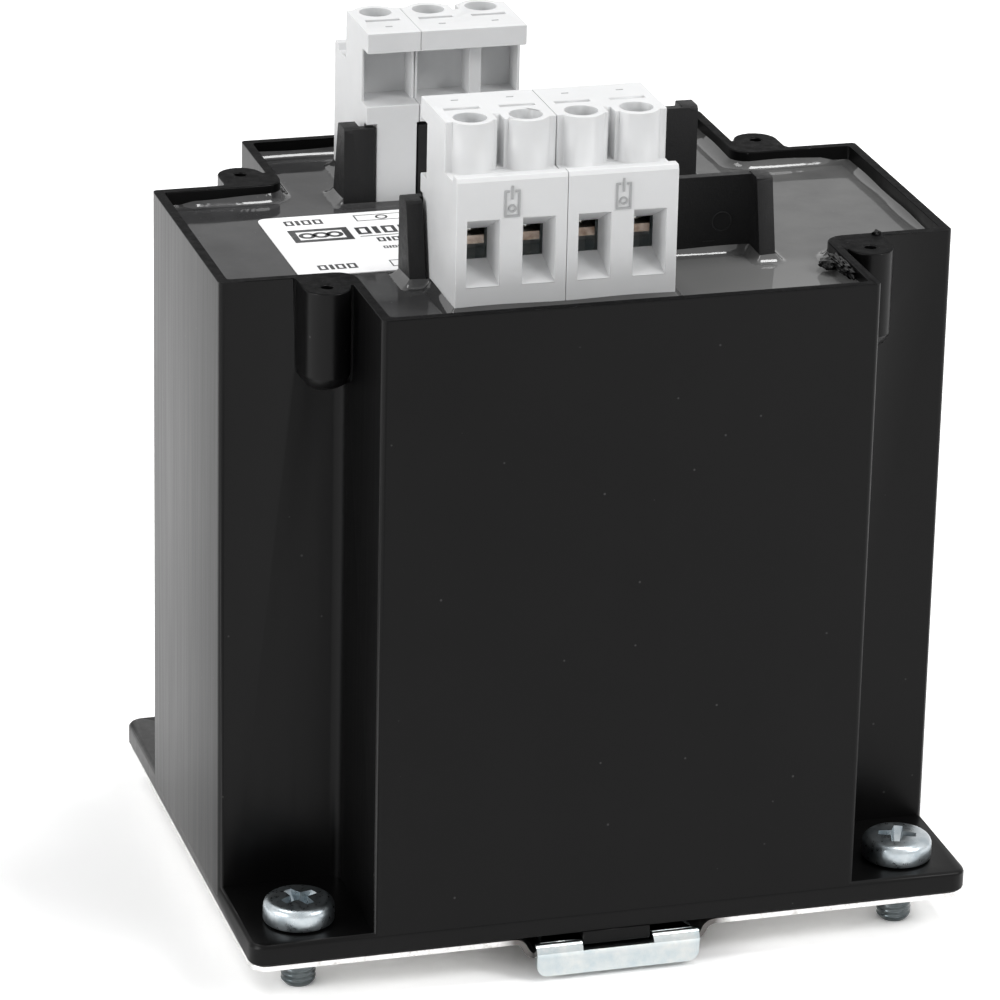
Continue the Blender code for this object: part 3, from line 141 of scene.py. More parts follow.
def camera():
    """The photograph's camera, as fitted to it."""
    azimuth, elevation, roll = (math.radians(a) for a in CAMERA_ANGLES)
    back = Vector((math.sin(azimuth) * math.cos(elevation), -math.cos(azimuth) * math.cos(elevation),
                   math.sin(elevation)))
    right = Vector((math.cos(azimuth), math.sin(azimuth), 0))
    up = back.cross(right)
    across = math.cos(roll) * right + math.sin(roll) * up
    upward = math.cos(roll) * up - math.sin(roll) * right
    data = bpy.data.cameras.new("camera")
    data.lens = CAMERA_LENS
    data.sensor_width = 36.0
    data.shift_x, data.shift_y = CAMERA_SHIFT
    data.clip_start, data.clip_end = 0.05, 20.0
    item = bpy.data.objects.new("camera", data)
    item.matrix_world = Matrix((across, upward, back)).transposed().to_4x4()
    item.location = at(*CAMERA_PLACE)
    bpy.context.scene.collection.objects.link(item)
    bpy.context.scene.camera = item


# Node helpers

def add(tree, kind, inputs=None, **settings):
    """A shader node. inputs gives each named or numbered socket a value, or the socket that feeds it."""
    node = tree.nodes.new(kind)
    for name, value in settings.items():
        setattr(node, name, value)
    for name, value in (inputs or {}).items():
        if isinstance(value, bpy.types.NodeSocket):
            tree.links.new(value, node.inputs[name])
        else:
            node.inputs[name].default_value = value
    return node


def coords(tree, stretch=(1, 1, 1)):
    """Object coordinates in metres, multiplied per axis."""
    source = add(tree, "ShaderNodeTexCoord").outputs["Object"]
    return add(tree, "ShaderNodeMapping", {"Vector": source, "Scale": stretch}).outputs["Vector"]


def grain(tree, size_mm, detail=3.0, roughness=0.55, stretch=(1, 1, 1)):
    """Noise from 0 to 1 with features of about size_mm."""
    node = add(tree, "ShaderNodeTexNoise", {"Vector": coords(tree, stretch), "Scale": 1 / (size_mm * MM),
                                            "Detail": detail, "Roughness": roughness})
    return node.outputs["Fac"]


def cells(tree, size_mm):
    """Voronoi cells of about size_mm."""
    inputs = {"Vector": coords(tree), "Scale": 1 / (size_mm * MM)}
    return add(tree, "ShaderNodeTexVoronoi", inputs, feature="F1")


def ranged(tree, value, low, high, to_low=0.0, to_high=1.0):
    """The value moved from one range to another and held inside it."""
    node = add(tree, "ShaderNodeMapRange", {"Value": value, "From Min": low, "From Max": high,
                                            "To Min": to_low, "To Max": to_high})
    return node.outputs["Result"]


def blended(tree, share, first, second):
    """Colour between first and second by share."""
    node = add(tree, "ShaderNodeMix", data_type="RGBA")
    for index, value in ((0, share), (6, first), (7, second)):
        if isinstance(value, bpy.types.NodeSocket):
            tree.links.new(value, node.inputs[index])
        else:
            node.inputs[index].default_value = value if index == 0 else (*value, 1.0)
    return node.outputs[2]


def maths(tree, operation, first, second):
    """One arithmetic step. ABSOLUTE ignores the second value."""
    node = add(tree, "ShaderNodeMath", {0: first, 1: second}, operation=operation)
    return node.outputs["Value"]


def bumped(tree, height, depth_mm, strength=1.0, normal=None):
    """Shading normal for a relief of depth_mm, laid over normal if that is given."""
    inputs = {"Height": height, "Distance": depth_mm * MM, "Strength": strength}
    if normal is not None:
        inputs["Normal"] = normal
    return add(tree, "ShaderNodeBump", inputs).outputs["Normal"]


def look(name, roughness, metallic=0.0):
    """A new material, its tree and its shader."""
    material = bpy.data.materials.new(name)
    material.use_nodes = True
    shader = material.node_tree.nodes["Principled BSDF"]
    shader.inputs["Roughness"].default_value = roughness
    shader.inputs["Metallic"].default_value = metallic
    return material, material.node_tree, shader


# Materials

def black_plastic():
    """Housing: satin black, with fine vertical polishing marks and a few dust specks."""
    material, tree, shader = look("black_thermoplastic", 0.32)
    cloud = grain(tree, 14.0, 2.0)
    base = blended(tree, cloud, (0.0018, 0.0018, 0.0019), (0.0034, 0.0033, 0.0034))
    specks = ranged(tree, cells(tree, 4.5).outputs["Distance"], 0.045, 0.03)
    base = blended(tree, maths(tree, "MULTIPLY", specks, 0.25), base, (0.16, 0.16, 0.16))
    tree.links.new(base, shader.inputs["Base Color"])
    streaks = grain(tree, 0.9, 3.0, 0.6, (1, 1, 0.02))
    tree.links.new(ranged(tree, streaks, 0.25, 0.75, 0.28, 0.36), shader.inputs["Roughness"])
    fine = bumped(tree, grain(tree, 0.25, 2.0), 0.003)
    tree.links.new(bumped(tree, streaks, 0.003, 1.0, fine), shader.inputs["Normal"])
    shader.inputs["Specular IOR Level"].default_value = 0.14
    return material


def rim_plastic():
    """Upper edge of the cup: the same black, rough, with pale scuffs."""
    material, tree, shader = look("black_rim", 0.7)
    scuffs = ranged(tree, grain(tree, 0.5, 4.0, 0.7), 0.62, 0.74)
    base = blended(tree, maths(tree, "MULTIPLY", scuffs, 0.6),
                   (0.0022, 0.0022, 0.0024), (0.085, 0.085, 0.086))
    tree.links.new(base, shader.inputs["Base Color"])
    tree.links.new(ranged(tree, grain(tree, 1.5, 3.0), 0.3, 0.7, 0.55, 0.75), shader.inputs["Roughness"])
    tree.links.new(bumped(tree, grain(tree, 0.35, 3.0), 0.02), shader.inputs["Normal"])
    shader.inputs["Specular IOR Level"].default_value = 0.06
    return material


def grained_plastic():
    """Terminal carriers: spark-eroded matt black."""
    material, tree, shader = look("grained_black_thermoplastic", 0.6)
    fine = grain(tree, 0.22, 3.0, 0.7)
    base = blended(tree, fine, (0.0050, 0.0050, 0.0052), (0.0125, 0.0125, 0.013))
    tree.links.new(base, shader.inputs["Base Color"])
    tree.links.new(ranged(tree, grain(tree, 1.2, 3.0), 0.3, 0.7, 0.45, 0.62), shader.inputs["Roughness"])
    tree.links.new(bumped(tree, fine, 0.05, 0.8), shader.inputs["Normal"])
    shader.inputs["Specular IOR Level"].default_value = 0.25
    return material


def resin(name, specular, shade):
    """Grey casting resin with a poured, glossy skin and a few inclusions; shade scales its own grey, and
    below 1 it is painted shade.
    """
    material, tree, shader = look(name, 0.06)
    place = add(tree, "ShaderNodeSeparateXYZ", {"Vector": coords(tree)}).outputs
    cloud = ranged(tree, grain(tree, 9.0, 4.0, 0.6), 0.35, 0.65)
    # Painted shade: the resin's grey is darker towards the left, from x = 30 mm down to x = -35 mm.
    right_grey = blended(tree, cloud, (0.085, 0.085, 0.085), (0.108, 0.108, 0.107))
    left_painted_shade = blended(tree, cloud, (0.032, 0.032, 0.033), (0.048, 0.048, 0.049))
    base = blended(tree, ranged(tree, place["X"], -0.035, 0.030), left_painted_shade, right_grey)
    # Painted light: the resin's grey is raised in the front bay, right of the front carrier.
    front_bay_painted_light = maths(tree, "MULTIPLY", ranged(tree, place["X"], 0.004, 0.012),
                      ranged(tree, place["Y"], -0.014, -0.022))
    base = blended(tree, front_bay_painted_light, base, (0.135, 0.135, 0.134))
    specks = ranged(tree, cells(tree, 2.2).outputs["Distance"], 0.07, 0.03)
    base = blended(tree, maths(tree, "MULTIPLY", specks, 0.30), base, (0.16, 0.16, 0.155))
    # Below 1, shade darkens the grey as painted shade.
    base = blended(tree, shade, (0.0, 0.0, 0.0), base)
    tree.links.new(base, shader.inputs["Base Color"])
    tree.links.new(ranged(tree, grain(tree, 5.0, 4.0), 0.3, 0.7, 0.03, 0.09), shader.inputs["Roughness"])
    waves = bumped(tree, grain(tree, 11.0, 1.0), 0.09, 0.8)
    tree.links.new(bumped(tree, grain(tree, 0.7, 2.0), 0.0015, 0.8, waves), shader.inputs["Normal"])
    shader.inputs["Specular IOR Level"].default_value = specular
    return material


def polyamide(name, dark, light):
    """Light grey moulded terminal bodies."""
    material, tree, shader = look(name, 0.42)
    cloud = grain(tree, 6.0, 3.0)
    base = blended(tree, cloud, dark, light)
    tree.links.new(base, shader.inputs["Base Color"])
    tree.links.new(ranged(tree, grain(tree, 1.5, 3.0), 0.3, 0.7, 0.38, 0.50), shader.inputs["Roughness"])
    tree.links.new(bumped(tree, grain(tree, 0.3, 2.0), 0.004), shader.inputs["Normal"])
    shader.inputs["Subsurface Weight"].default_value = 0.10
    shader.inputs["Subsurface Radius"].default_value = (0.0012, 0.0011, 0.0010)
    shader.inputs["Subsurface Scale"].default_value = 0.6
    return material


def bright_zinc(name, dark, light, polish=(0.11, 0.24)):
    """Blue-passivated zinc, clouded between two tones; polish is its range of roughness."""
    material, tree, shader = look(name, 0.16, 1.0)
    patches = grain(tree, 2.5, 3.0, 0.6)
    base = blended(tree, ranged(tree, patches, 0.35, 0.65), dark, light)
    tree.links.new(base, shader.inputs["Base Color"])
    tree.links.new(ranged(tree, grain(tree, 0.8, 4.0, 0.65), 0.3, 0.7, *polish), shader.inputs["Roughness"])
    tree.links.new(bumped(tree, grain(tree, 0.5, 3.0), 0.003), shader.inputs["Normal"])
    return material


def zinc_sheet():
    """Hot-dip galvanised sheet of the mounting plate, painted dark brown across the pressed trough as
    painted shade.
    """
    material, tree, shader = look("dull_zinc_sheet", 0.45, 1.0)
    spangle = cells(tree, 5.0).outputs["Color"]
    tone = add(tree, "ShaderNodeSeparateColor", {"Color": spangle}).outputs["Red"]
    base = blended(tree, ranged(tree, tone, 0, 1), (0.78, 0.78, 0.77), (0.90, 0.89, 0.88))
    base = blended(tree, ranged(tree, grain(tree, 1.0, 4.0, 0.7), 0.50, 0.80), base, (0.46, 0.44, 0.42))
    across = add(tree, "ShaderNodeSeparateXYZ", {"Vector": coords(tree)}).outputs["X"]
    # Painted shade: the sheet turns dark brown within about 16 mm of the middle, across the trough.
    trough_painted_shade = ranged(tree, maths(tree, "ABSOLUTE", across, 0.0), 0.0175, 0.0148, 0.0, 0.92)
    base = blended(tree, trough_painted_shade, base, (0.075, 0.066, 0.062))
    tree.links.new(base, shader.inputs["Base Color"])
    tree.links.new(ranged(tree, tone, 0, 1, 0.36, 0.52), shader.inputs["Roughness"])
    tree.links.new(bumped(tree, grain(tree, 0.5, 4.0, 0.7), 0.010), shader.inputs["Normal"])
    return material


def paper():
    """Printed label film."""
    material, tree, shader = look("label_paper", 0.45)
    base = blended(tree, grain(tree, 3.0, 4.0), (0.92, 0.92, 0.93), (0.97, 0.97, 0.97))
    tree.links.new(base, shader.inputs["Base Color"])
    tree.links.new(ranged(tree, grain(tree, 2.0, 2.0), 0.3, 0.7, 0.40, 0.52), shader.inputs["Roughness"])
    tree.links.new(bumped(tree, grain(tree, 0.15, 3.0), 0.003), shader.inputs["Normal"])
    return material


def ink():
    """Black thermal-transfer print, a little uneven."""
    material, tree, shader = look("label_ink", 0.5)
    base = blended(tree, ranged(tree, grain(tree, 0.4, 3.0), 0.4, 0.8),
                   (0.018, 0.018, 0.020), (0.06, 0.06, 0.062))
    tree.links.new(base, shader.inputs["Base Color"])
    tree.links.new(ranged(tree, grain(tree, 1.0, 2.0), 0.3, 0.7, 0.42, 0.58), shader.inputs["Roughness"])
    return material


def lamination_iron():
    """Stack of sheets, its edges showing as fine lines across Y."""
    material, tree, shader = look("lamination_iron", 0.5, 1.0)
    lines = add(tree, "ShaderNodeTexWave", {"Vector": coords(tree), "Scale": 320.0, "Distortion": 0.6,
                                            "Detail": 2.0}, bands_direction="Y").outputs["Fac"]
    base = blended(tree, lines, (0.10, 0.10, 0.11), (0.24, 0.24, 0.25))
    tree.links.new(base, shader.inputs["Base Color"])
    tree.links.new(bumped(tree, lines, 0.05), shader.inputs["Normal"])
    return material


def nylon():
    """Natural nylon of the bobbin, hidden in the resin."""
    material, tree, shader = look("bobbin_nylon", 0.5)
    base = blended(tree, grain(tree, 4.0, 3.0), (0.52, 0.47, 0.37), (0.60, 0.55, 0.45))
    tree.links.new(base, shader.inputs["Base Color"])
    tree.links.new(bumped(tree, grain(tree, 0.4, 2.0), 0.008), shader.inputs["Normal"])
    return material


def enamelled_copper():
    """Layers of wire, drawn as turns along Z."""
    material, tree, shader = look("enamelled_copper", 0.32, 1.0)
    turns = add(tree, "ShaderNodeTexWave", {"Vector": coords(tree), "Scale": 160.0, "Distortion": 0.3},
                bands_direction="Z").outputs["Fac"]
    base = blended(tree, turns, (0.30, 0.09, 0.035), (0.62, 0.24, 0.10))
    tree.links.new(base, shader.inputs["Base Color"])
    tree.links.new(bumped(tree, turns, 0.15), shader.inputs["Normal"])
    return material


def tape():
    """Polyester tape over the primary winding, hidden in the resin."""
    material, tree, shader = look("insulation_tape", 0.4)
    base = blended(tree, grain(tree, 5.0, 3.0), (0.66, 0.46, 0.08), (0.76, 0.56, 0.14))
    tree.links.new(base, shader.inputs["Base Color"])
    tree.links.new(bumped(tree, grain(tree, 1.5, 2.0), 0.02), shader.inputs["Normal"])
    return material


def tinned():
    """Contact bars: tin over copper, warm and a little stained."""
    material, tree, shader = look("tinned_copper", 0.4, 1.0)
    base = blended(tree, ranged(tree, grain(tree, 1.2, 4.0), 0.35, 0.7),
                   (0.34, 0.29, 0.25), (0.16, 0.11, 0.08))
    tree.links.new(base, shader.inputs["Base Color"])
    tree.links.new(ranged(tree, grain(tree, 0.5, 2.0), 0.3, 0.7, 0.32, 0.5), shader.inputs["Roughness"])
    tree.links.new(bumped(tree, grain(tree, 0.3, 2.0), 0.008), shader.inputs["Normal"])
    return material


# Mesh helpers

def solid(name, bm, material, body=BASE, crease=35.0):
    """A finished piece from a bmesh in world metres, riding on a body."""
    bmesh.ops.recalc_face_normals(bm, faces=bm.faces[:])
    mesh = bpy.data.meshes.new(name)
    bm.to_mesh(mesh)
    bm.free()
    mesh.materials.append(material)
    mesh.shade_smooth()
    mesh.set_sharp_from_angle(angle=math.radians(crease))
    item = bpy.data.objects.new(name, mesh)
    bpy.context.scene.collection.objects.link(item)
    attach(item, body)
    return item


def bar(bm, x, y, z):
    """Adds a box between two places on each axis, in millimetres."""
    corners = [bm.verts.new(at(a, b, c)) for c in z for b in y for a in x]
    for face in ((0, 1, 3, 2), (4, 6, 7, 5), (0, 4, 5, 1), (2, 3, 7, 6), (0, 2, 6, 4), (1, 5, 7, 3)):
        bm.faces.new([corners[i] for i in face])


def frame_of_bars(bm, x, y, z, line):
    """A rectangular frame of bars that are line wide; z is its low and high place."""
    bar(bm, x, (y[0], y[0] + line), z)
    bar(bm, x, (y[1] - line, y[1]), z)
    bar(bm, (x[0], x[0] + line), (y[0] + line, y[1] - line), z)
    bar(bm, (x[1] - line, x[1]), (y[0] + line, y[1] - line), z)


def rounded(corners, steps=4):
    """A closed outline whose corners (x, y, radius) are filleted."""
    outline = []
    for i, (x, y, radius) in enumerate(corners):
        here = Vector((x, y))
        if radius == 0:
            outline.append(here)
            continue
        before = (Vector(corners[i - 1][:2]) - here).normalized()
        after = (Vector(corners[(i + 1) % len(corners)][:2]) - here).normalized()
        half = before.angle(after) / 2
        centre = here + (before + after).normalized() * radius / math.sin(half)
        first = here + before * radius / math.tan(half) - centre
        last = here + after * radius / math.tan(half) - centre
        turn = first.angle_signed(last)
        outline += [centre + Matrix.Rotation(-turn * k / steps, 2) @ first for k in range(steps + 1)]
    return outline


# Moulded and pressed pieces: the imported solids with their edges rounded

def finer(node_name, radius, material, reshape=None):
    """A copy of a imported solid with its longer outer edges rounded, shown in its place."""
    packed = frame["nodes"][node_name]
    bm = bmesh.new()
    bm.from_mesh(packed.data)
    bmesh.ops.remove_doubles(bm, verts=bm.verts[:], dist=2e-6)
    bmesh.ops.dissolve_limit(bm, angle_limit=math.radians(0.6), verts=bm.verts[:], edges=bm.edges[:])
    if reshape:
        reshape(bm)
    bm.normal_update()
    weights = bm.edges.layers.float.new("bevel_weight_edge")
    for edge in bm.edges:
        if edge.is_manifold and edge.calc_length() > SHORTEST_ROUNDED * MM:
            edge[weights] = float(edge.calc_face_angle_signed() > math.radians(ROUNDED_FROM))
    mesh = bpy.data.meshes.new("rough")
    bm.to_mesh(mesh)
    bm.free()
    mesh.shade_smooth()
    mesh.set_sharp_from_angle(angle=math.radians(SHARP_FROM))
    item = bpy.data.objects.new("rough", mesh)
    bpy.context.scene.collection.objects.link(item)
    step = item.modifiers.new("edges", "BEVEL")
    step.limit_method = "WEIGHT"
    step.width = radius * MM
    step.segments = 2
    step.use_clamp_overlap = False
    step.harden_normals = True
    bpy.context.view_layer.update()
    graph = bpy.context.evaluated_depsgraph_get()
    mesh = bpy.data.meshes.new_from_object(item.evaluated_get(graph))
    bpy.data.objects.remove(item, do_unlink=True)
    mesh.materials.clear()
    mesh.materials.append(material)
    name = node_name + "_finished"
    mesh.name = name
    item = bpy.data.objects.new(name, mesh)
    bpy.context.scene.collection.objects.link(item)
    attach(item, packed["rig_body"])
    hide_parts(node_name)
    return item


def wider(left, right, by):
    """A reshape that moves the side faces at left and right outwards and the top down, in millimetres."""
    near = 0.02

    def reshape(bm):
        for vert in bm.verts:
            if vert.co.z > at(0, 0, BODY_TOP - near).z:
                vert.co.z -= TOP_LOWERED * MM
            x = vert.co.x / MM
            if abs(x - left) < near:
                vert.co.x -= by * MM
            elif abs(x - right) < near:
                vert.co.x += by * MM
    return reshape


def moulded_pieces():
    """The housing with its scuffed rim, the carriers, the terminal bodies, the plate and the latch."""
    housing = finer("housing", radius=0.22, material=looks["black_thermoplastic"])
    housing.data.materials.append(rim_plastic())
    for face in housing.data.polygons:
        if face.center.z > at(0, 0, RIM_TOP - 0.12).z and face.normal.z > 0.5:
            face.material_index = 1
    for name in ("front_terminal_carrier", "rear_terminal_carrier"):
        finer(name, radius=0.08, material=looks["grained_black_thermoplastic"])
    for name in ("front_terminal_body_left", "front_terminal_body_right",
                 "rear_terminal_body_single", "rear_terminal_body_double"):
        low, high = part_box(name)
        finer(name, radius=0.11, material=looks["light_grey_polyamide"],
              reshape=wider(low.x / MM, high.x / MM, by=0.09))
    finer("mounting_plate", radius=0.10, material=looks["dull_zinc_sheet"])
    finer("rail_latch", radius=0.14, material=looks["bright_zinc"])


def latch_spring(material):
    """The zigzag spring as a smooth-shaded copy of the imported one."""
    mesh = frame["nodes"]["latch_spring"].data.copy()
    mesh.materials.clear()
    mesh.materials.append(material)
    mesh.shade_smooth()
    item = bpy.data.objects.new("latch_spring_closing", mesh)
    bpy.context.scene.collection.objects.link(item)
    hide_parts("latch_spring")
    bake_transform(item)


# Resin skin, drawn up where it meets the walls

def resin_outlines():
    """Outer edge of the resin and the two islands in it."""
    block_x, block_y, wing_x, wing_y = 34.02, 39.27, 51.77, 19.37
    right = [(block_x, -block_y, 0.6), (block_x, -wing_y, 3.0), (wing_x, -wing_y, 0.6),
             (wing_x, wing_y, 0.6), (block_x, wing_y, 3.0), (block_x, block_y, 0.6)]
    outer = rounded(right + [(-x, -y, r) for x, y, r in right], 6)
    islands = []
    for side, (left, far) in ((-1, FRONT_BODIES), (1, REAR_BODIES)):
        low, high = CARRIER_X
        back, front = CARRIER_WALL
        corners = [(low, back), (high, back), (high, CHEEK_REACH), (high - CHEEK, CHEEK_REACH),
                   (high - CHEEK, front), (far, front), (far, BODY_FACE), (left, BODY_FACE),
                   (left, CHEEK_REACH), (low, CHEEK_REACH)]
        islands.append([Vector((x, side * y)) for x, y in corners])
    return outer, islands


def resampled(outline, step):
    """The outline with a point at least every step."""
    points = []
    for i, end in enumerate(outline):
        start = outline[i - 1]
        count = max(1, math.ceil((end - start).length / step))
        points += [start.lerp(end, k / count) for k in range(count)]
    return points


def inside(points, outline):
    """Which of the points, an N by 2 array, lie in the outline."""
    result = np.zeros(len(points), bool)
    x, y = points[:, 0], points[:, 1]
    for i, end in enumerate(outline):
        start = outline[i - 1]
        crosses = (start.y > y) != (end.y > y)
        with np.errstate(divide="ignore", invalid="ignore"):
            reach = (end.x - start.x) * (y - start.y) / (end.y - start.y) + start.x
        result ^= crosses & (x < reach)
    return result


def wall_distance(points, outlines):
    """Distance of each point, in an N by 2 array, from the nearest outline."""
    nearest = np.full(len(points), 1e9)
    for outline in outlines:
        for i, end in enumerate(outline):
            start = np.array(outline[i - 1])
            along = np.array(end) - start
            share = np.clip(((points - start) @ along) / (along @ along), 0, 1)
            nearest = np.minimum(nearest, np.linalg.norm(points - start - share[:, None] * along, axis=1))
    return nearest


def meniscus(distance):
    """Height of the drawn-up resin at a distance from the wall, from a slope that eases off evenly."""
    places = np.linspace(0.0, MENISCUS, 69)
    slopes = np.tan(np.radians(np.interp(places, (0.0, 0.5 * MENISCUS, MENISCUS), MENISCUS_SLOPES)))
    fall = np.concatenate(([0.0], np.cumsum((slopes[1:] + slopes[:-1]) / 2 * np.diff(places))))
    return np.interp(distance, places, fall[-1] - fall)


def resin_skin(material, edge_material):
    """Top of the poured resin: level in the middle, with a meniscus along every wall."""
    outer, islands = resin_outlines()
    loops = [resampled(outer, OUTLINE_STEP)] + [resampled(island, OUTLINE_STEP) for island in islands]
    points = [p for loop in loops for p in loop]
    rng = np.random.default_rng(7)
    for step, nearest, farthest in GRIDS:
        xs, ys = np.meshgrid(np.arange(-51.5, 51.6, step), np.arange(-39.0, 39.1, step))
        grid = np.stack([xs.ravel(), ys.ravel()], axis=1)
        grid += rng.uniform(-0.2, 0.2, grid.shape) * step
        distance = wall_distance(grid, [outer, *islands])
        keep = inside(grid, outer) & (distance > nearest) & (distance <= farthest)
        for island in islands:
            keep &= ~inside(grid, island)
        points += [Vector(p) for p in grid[keep]]
    edges, owner = [], []
    for number, loop in enumerate(loops):
        first = len(edges)
        edges += [(first + i, first + (i + 1) % len(loop)) for i in range(len(loop))]
        owner += [number] * len(loop)
    fill = delaunay_2d_cdt(points, edges, [], 1, 1e-6)
    flat = np.array([tuple(p) for p in fill[0]])
    middles = np.array([flat[list(t)].mean(axis=0) for t in fill[2]])
    wanted = np.ones(len(middles), bool)
    for island in islands:
        wanted &= ~inside(middles, island)
    triangles = [t for t, ok in zip(fill[2], wanted) if ok]
    used = sorted({i for t in triangles for i in t})
    number = {old: new for new, old in enumerate(used)}
    flat = flat[used]
    distance = wall_distance(flat, [outer, *islands])
    swell = 0.06 * np.sin(flat[:, 0] / 9.0) * np.cos(flat[:, 1] / 7.0)
    uneven = 1 + 0.16 * np.sin(flat[:, 0] / 3.1 + 1.0) * np.sin(flat[:, 1] / 2.7 + 0.4)
    height = meniscus(distance) * uneven + swell * np.minimum(distance / 4.0, 1.0)
    beside_label = (np.abs(flat[:, 1]) < CARRIER_WALL[0] + 0.1) & (np.abs(flat[:, 0]) < 28.0)
    across = np.abs(flat[:, 0])
    height *= np.where(beside_label, np.interp(across, (26.5, 28.0), (LEFT_BY_LABEL, 1.0)), 1.0)
    height *= np.interp(across, (47.5, 49.5), (1.0, LEFT_AT_ENDS))
    bm = bmesh.new()
    top = [bm.verts.new(at(x, y, RESIN_TOP + SKIN + h)) for (x, y), h in zip(flat, height)]
    low = [bm.verts.new(at(x, y, RESIN_TOP + 0.02)) for x, y in flat]
    for a, b, c in triangles:
        a, b, c = number[a], number[b], number[c]
        bm.faces.new((top[a], top[b], top[c]))
        bm.faces.new((low[c], low[b], low[a]))
    rim = [e for e in bm.edges if len(e.link_faces) == 1 and e.verts[0] in set(top)]
    partner = dict(zip(top, low))
    for edge in rim:
        a, b = edge.verts
        bm.faces.new((b, a, partner[a], partner[b]))
    item = solid("resin_skin", bm, material, crease=60)
    item.data.materials.append(edge_material)
    middles = np.array([tuple(face.center) for face in item.data.polygons])
    near = wall_distance(middles[:, :2] / MM - (0.0, PLATE_Y), [outer, *islands]) < EDGE_SHARE * MENISCUS
    item.data.polygons.foreach_set("material_index", near.astype(np.int32))
    return item


# Print on the label: plain fields and lines, no words

def label_print(material):
    """Plain blocks where the lettering is, and the connection tables as empty cells."""
    bm = bmesh.new()
    z = PRINT_LEVELS
    left, right, front, back = LABEL

    def word(x, y, count, height):
        """A row of small frames and blocks that reads as print from afar."""
        width = 0.66 * height
        for k in range(count):
            if k % 3 == 1:
                bar(bm, (x, x + 0.4 * width), (y, y + height), z)
                x += 0.66 * width
            else:
                frame_of_bars(bm, (x, x + width), (y, y + height), z, 0.28 * width)
                x += 1.26 * width

    def row(x, y, widths, height, line=0.18):
        for width in widths:
            frame_of_bars(bm, (x, x + width), (y, y + height), z, line)
            x += width

    word(left + 3.4, back - 3.9, 4, 2.0)
    word(left + 3.4, front + 2.0, 4, 2.0)
    row(left + 13.8, back - 3.9, (7.9, 7.9, 7.9, 7.9), 2.6)
    row(left + 13.8, front + 1.6, (7.9, 7.9, 7.9, 7.9, 5.0), 2.6)
    word(left + 12.6, back - 9.6, 5, 3.0)
    word(left + 25.0, back - 9.6, 4, 3.0)
    bar(bm, (left + 12.6, right - 6.0), (back - 10.6, back - 10.4), z)
    word(left + 14.6, back - 13.2, 7, 1.7)
    for i, count in enumerate((9, 7, 11)):
        word(left + 26.6 + i * 11.0, back - 13.0, count, 1.1)
    for i, count in enumerate((10, 8, 12)):
        word(left + 14.6 + i * 13.2, back - 16.2, count, 1.0)
    return solid("label_print", bm, material, crease=20)


def ring_mark(bm, x, y, z, inner, outer, axis="z", steps=28):
    """A flat ring between two radii; z is its low and high place along axis."""
    rings = []
    for radius, height in ((inner, z[0]), (outer, z[0]), (outer, z[1]), (inner, z[1])):
        ring = []
        for i in range(steps):
            a = 2 * math.pi * i / steps
            u, v = x + radius * math.cos(a), y + radius * math.sin(a)
            place = at(u, v, height) if axis == "z" else at(u, height, v)
            ring.append(bm.verts.new(place))
        rings.append(ring)
    for k, ring in enumerate(rings):
        after = rings[(k + 1) % 4]
        for i in range(steps):
            bm.faces.new((ring[i - 1], ring[i], after[i], after[i - 1]))


def label_symbols(material):
    """Three linked rings in a dark frame, and one small ring in the upper table."""
    bm = bmesh.new()
    z = PRINT_LEVELS
    left, back = LABEL[0], LABEL[3]
    frame_of_bars(bm, (left + 3.0, left + 11.6), (back - 11.4, back - 6.0), z, 0.95)
    for i in range(3):
        ring_mark(bm, left + 5.3 + i * 2.0, back - 8.7, z, 0.62, 1.22)
    ring_mark(bm, left + 17.7, back - 2.6, z, 0.60, 0.90)
    return solid("label_symbols", bm, material, crease=20)


# Small moulded marks on the terminal bodies

def body_marks(name, poles, side, material):
    """A raised symbol on each double body's face, and a short dash behind each marker slot."""
    bm = bmesh.new()
    face = side * BODY_FACE
    depth, low, high, half, line, gap = 0.16, 106.1, 109.6, 1.10, 0.28, 0.45
    dash_y, dash_half, dash_wide = side * (BODY_FACE - 15.6), 0.5, 0.22
    proud = sorted((face, face + side * depth))
    for left in [p for i, p in enumerate(poles[:-1]) if (i % 2 == 0) == (len(poles) % 2 == 0)]:
        x = left + PITCH / 2
        bar(bm, (x - half, x - half + line), proud, (low, high))
        bar(bm, (x + half - line, x + half), proud, (low, high))
        bar(bm, (x - half + line, x + half - line), proud, (low, low + line))
        bar(bm, (x - half, x - gap), proud, (high, high + line))
        bar(bm, (x + gap, x + half), proud, (high, high + line))
        bar(bm, (x - line / 2, x + line / 2), proud, (high - 1.0, high + 0.9))
        ring_mark(bm, x, 107.3, proud, 0.34, 0.58, axis="y", steps=18)
    for x in poles:
        bar(bm, (x - dash_half, x + dash_half), (dash_y, dash_y + dash_wide),
            (BODY_TOP - TOP_LOWERED - 0.02, BODY_TOP))
    return solid(name, bm, material, crease=30)


def lump(bm, x, y, z, size):
    """A rough ridge of flash, stretched to size on each axis."""
    ball = bmesh.ops.create_icosphere(bm, subdivisions=4, radius=1.0)
    for vert in ball["verts"]:
        u, v, w = vert.co
        along = size[1] * v + y
        rough = 1 + 0.17 * math.sin(3.7 * along) * math.sin(4.0 * u + 2.0 * w)
        rough += 0.07 * math.sin(7.1 * along + 5 * w)
        vert.co = at(x + size[0] * u * rough, y + size[1] * v * rough, z + size[2] * w * rough)


def moulding_flaws(material):
    """Flash along the inner wall at the front right corner, and a pip on the rim above the boss."""
    bm = bmesh.new()
    lump(bm, 33.6, -29.8, 94.1, (1.0, 4.9, 0.85))
    lump(bm, 32.6, -27.4, 93.7, (1.5, 1.9, 0.75))
    lump(bm, 41.9, -20.3, 95.2, (0.65, 0.5, 0.5))
    return solid("moulding_flaws", bm, material, crease=50)


